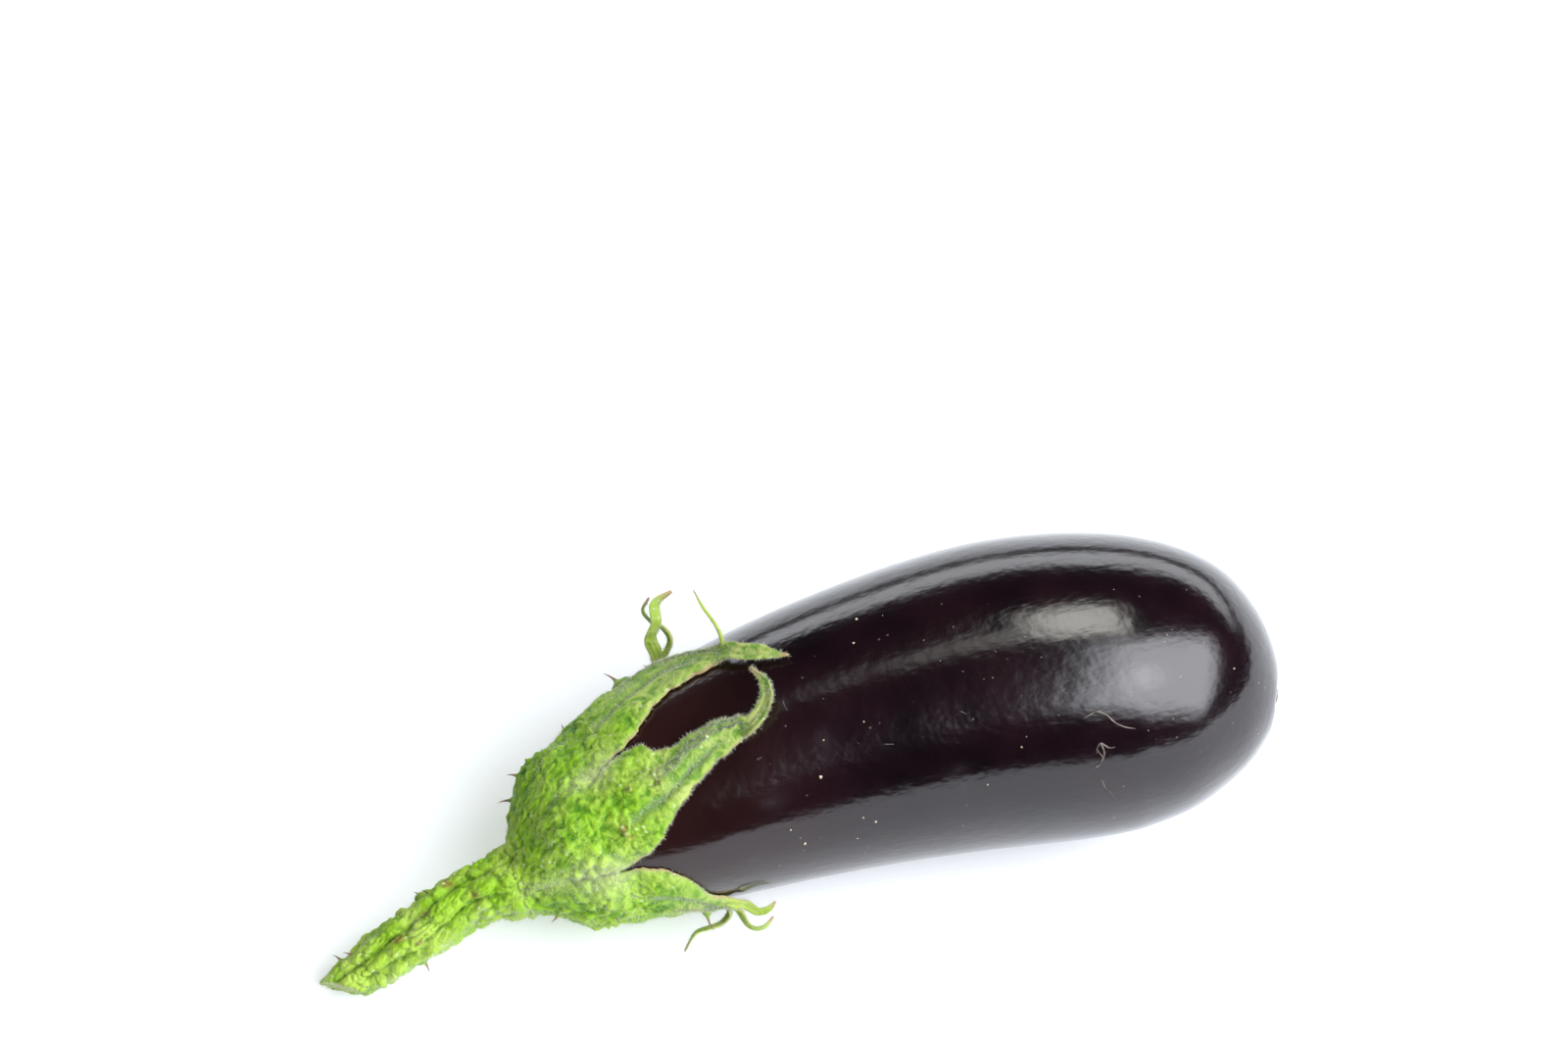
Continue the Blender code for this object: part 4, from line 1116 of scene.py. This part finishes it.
def add_specks(surface):
    """Cream specks as low closed domes on the skin, in one mesh."""
    chance = np.random.default_rng(11)
    loose = [(chance.uniform(60, 205), chance.uniform(-155, 155), chance.uniform(0.05, 0.13))
             for _ in range(LOOSE_SPECKS)]
    points = []
    faces = []
    for reach, around, radius in SPECKS + loose:
        centre = on_skin(reach, around)
        outward = unit(on_skin(reach, around, 1.0) - centre)
        first = unit(skin(reach + 1, around) - skin(reach, around))
        second = np.cross(outward, first)
        uneven = radius * (1 + 0.2 * np.sin(3 * ROUND + reach))
        rings = [centre + wide * uneven * (first * ROUND_COS + second * ROUND_SIN)
                 + outward * (high * radius + SPECK_PROUD) for wide, high in SPECK_RINGS]
        add_tube(points, faces, rings, centre - outward * 0.25 * radius,
                 centre + outward * (0.45 * radius + SPECK_PROUD))
    piece = add_mesh("skin_specks", points, faces, surface)
    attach(piece, "root")


# Each mark as (name, strokes, finish, its dark and light colours, height of the middle)
for name, strokes, finish, dark, light, lift in (
        ("curled_thread", THREAD, "pale_thread", (0.13, 0.10, 0.09), (0.24, 0.19, 0.16), 0.22),
        ("corky_scar", CORKY_SCAR, "grey_cork", (0.06, 0.042, 0.036), (0.18, 0.14, 0.12), 0.12),
        ("scratches", SCRATCHES, "fine_scratch", (0.10, 0.08, 0.08), (0.19, 0.16, 0.15), 0.02)):
    add_strokes(name, strokes, cork_surface(finish, dark, light), lift)
add_specks(cork_surface("cream_cork", (0.420, 0.350, 0.220), (0.640, 0.560, 0.400)))

# ---------------------------------------------------------------------------------------------
# Studio. A plain white surface under a large soft box in front, a smaller one overhead and a low
# wide one behind, in a dark room.
# ---------------------------------------------------------------------------------------------
AIM = Vector((-0.0175, 0.096, 0.0))     # this and the next distances are in metres
CAMERA_DISTANCE = 0.755
CAMERA_ELEVATION = math.radians(52)
CAMERA_AZIMUTH = math.radians(-12.5)
LENS = 60.0
LIGHT_DISTANCE = 1.5
# Soft boxes as (name, direction, direction of the width, half angles across and up in degrees,
# radiance in the middle, share of the half width over which it fades, colour)
SOFT_BOXES = [
    ("front_box", (0.495, -0.50, 0.71), (0.91, 0.05, -0.57), (35, 33), 7.0, 0.5, (0.91, 0.94, 1.0)),
    ("front_core", (0.30, -0.53, 0.79), (0.91, 0.05, -0.40), (13, 13), 2.6, 0.9, (1.0, 1.0, 0.98)),
    ("top_box", (0.15, 0.20, 0.97), (1.0, 0.0, -0.16), (12, 16), 7.5, 0.7, (1.0, 1.0, 0.93)),
    ("top_trail", (-0.08, 0.11, 0.99), (1.0, 0.0, 0.10), (13, 9), 1.8, 0.9, (1.0, 1.0, 0.95)),
    ("back_box", (0.25, 0.93, 0.31), (1.0, -0.27, 0.0), (66, 12), 3.2, 0.6, (0.93, 0.96, 1.0)),
]
FLOOR_HALF = 3000.0
FLOOR_COLOUR = (0.83, 0.85, 0.88, 1.0)
FLOOR_GLOW = 0.26           # the surface is lit from inside as well


def add_floor():
    """A wide white surface."""
    made, tree, shader, _ = new_surface("white_surface")
    feed(tree, shader, {"Base Color": FLOOR_COLOUR, "Roughness": 0.9, "Specular IOR Level": 0.1,
                        "Emission Color": (1.0, 1.0, 1.0, 1.0), "Emission Strength": FLOOR_GLOW})
    corners = [(-FLOOR_HALF, -FLOOR_HALF, 0), (FLOOR_HALF, -FLOOR_HALF, 0),
               (FLOOR_HALF, FLOOR_HALF, 0), (-FLOOR_HALF, FLOOR_HALF, 0)]
    return add_mesh("floor", corners, [(0, 1, 2, 3)], made)


def soften(lamp, fade):
    """Fade the light out towards its edges, like the cloth front of a soft box."""
    lamp.use_nodes = True
    tree = lamp.node_tree
    emission = next(node for node in tree.nodes if node.type == "EMISSION")
    across = add_node(tree, "ShaderNodeSeparateXYZ",
                      {"Vector": tree.nodes.new("ShaderNodeNewGeometry").outputs["Parametric"]})
    strength = 1.0
    for axis in ("X", "Y"):
        middle = math_node(tree, "SUBTRACT", across.outputs[axis], 0.5)
        from_middle = math_node(tree, "ABSOLUTE", middle)
        edge = ramp(tree, from_middle, 0.5, 0.5 - 0.5 * fade)
        strength = math_node(tree, "MULTIPLY", edge, strength)
    tree.links.new(strength, emission.inputs["Strength"])


def add_soft_box(name, direction, width, half_angles, radiance, fade, colour):
    """One rectangular light that faces the fruit."""
    toward = Vector(direction).normalized()
    upward = toward.cross(Vector(width)).normalized()
    lamp = bpy.data.lights.new(name, "AREA")
    lamp.shape = "RECTANGLE"
    lamp.size = 2 * LIGHT_DISTANCE * math.tan(math.radians(half_angles[0]))
    lamp.size_y = 2 * LIGHT_DISTANCE * math.tan(math.radians(half_angles[1]))
    lamp.energy = radiance * math.pi * lamp.size * lamp.size_y
    lamp.color = colour
    made = bpy.data.objects.new(name, lamp)
    made.location = toward * LIGHT_DISTANCE
    soften(lamp, fade)
    made.rotation_euler = Matrix((upward.cross(toward), upward, toward)).transposed().to_euler()
    made.visible_camera = False
    bpy.context.scene.collection.objects.link(made)


def add_camera():
    """The camera, looking down at the surface from the stalk's side of the front."""
    lens = bpy.data.cameras.new("camera")
    lens.lens = LENS
    lens.sensor_width = 36.0
    lens.clip_start = 0.01
    lens.clip_end = 50.0
    away = Vector((math.sin(CAMERA_AZIMUTH) * math.cos(CAMERA_ELEVATION),
                   -math.cos(CAMERA_AZIMUTH) * math.cos(CAMERA_ELEVATION),
                   math.sin(CAMERA_ELEVATION)))
    made = bpy.data.objects.new("camera", lens)
    made.location = AIM + away * CAMERA_DISTANCE
    made.rotation_euler = away.to_track_quat("Z", "Y").to_euler()
    bpy.context.scene.collection.objects.link(made)
    bpy.context.scene.camera = made


def set_room():
    """A dark room, with a pale wall wherever the surface ends in view."""
    room = bpy.data.worlds.new("room")
    bpy.context.scene.world = room
    room.use_nodes = True
    tree = room.node_tree
    seen = add_node(tree, "ShaderNodeLightPath").outputs["Is Camera Ray"]
    glow = blend_colours(tree, seen, (0.04, 0.04, 0.05), (1.0, 1.0, 1.0))
    tree.links.new(glow, tree.nodes["Background"].inputs["Color"])


add_floor()
for soft_box in SOFT_BOXES:
    add_soft_box(*soft_box)
add_camera()
set_room()
bpy.context.scene.view_settings.view_transform = "Standard"
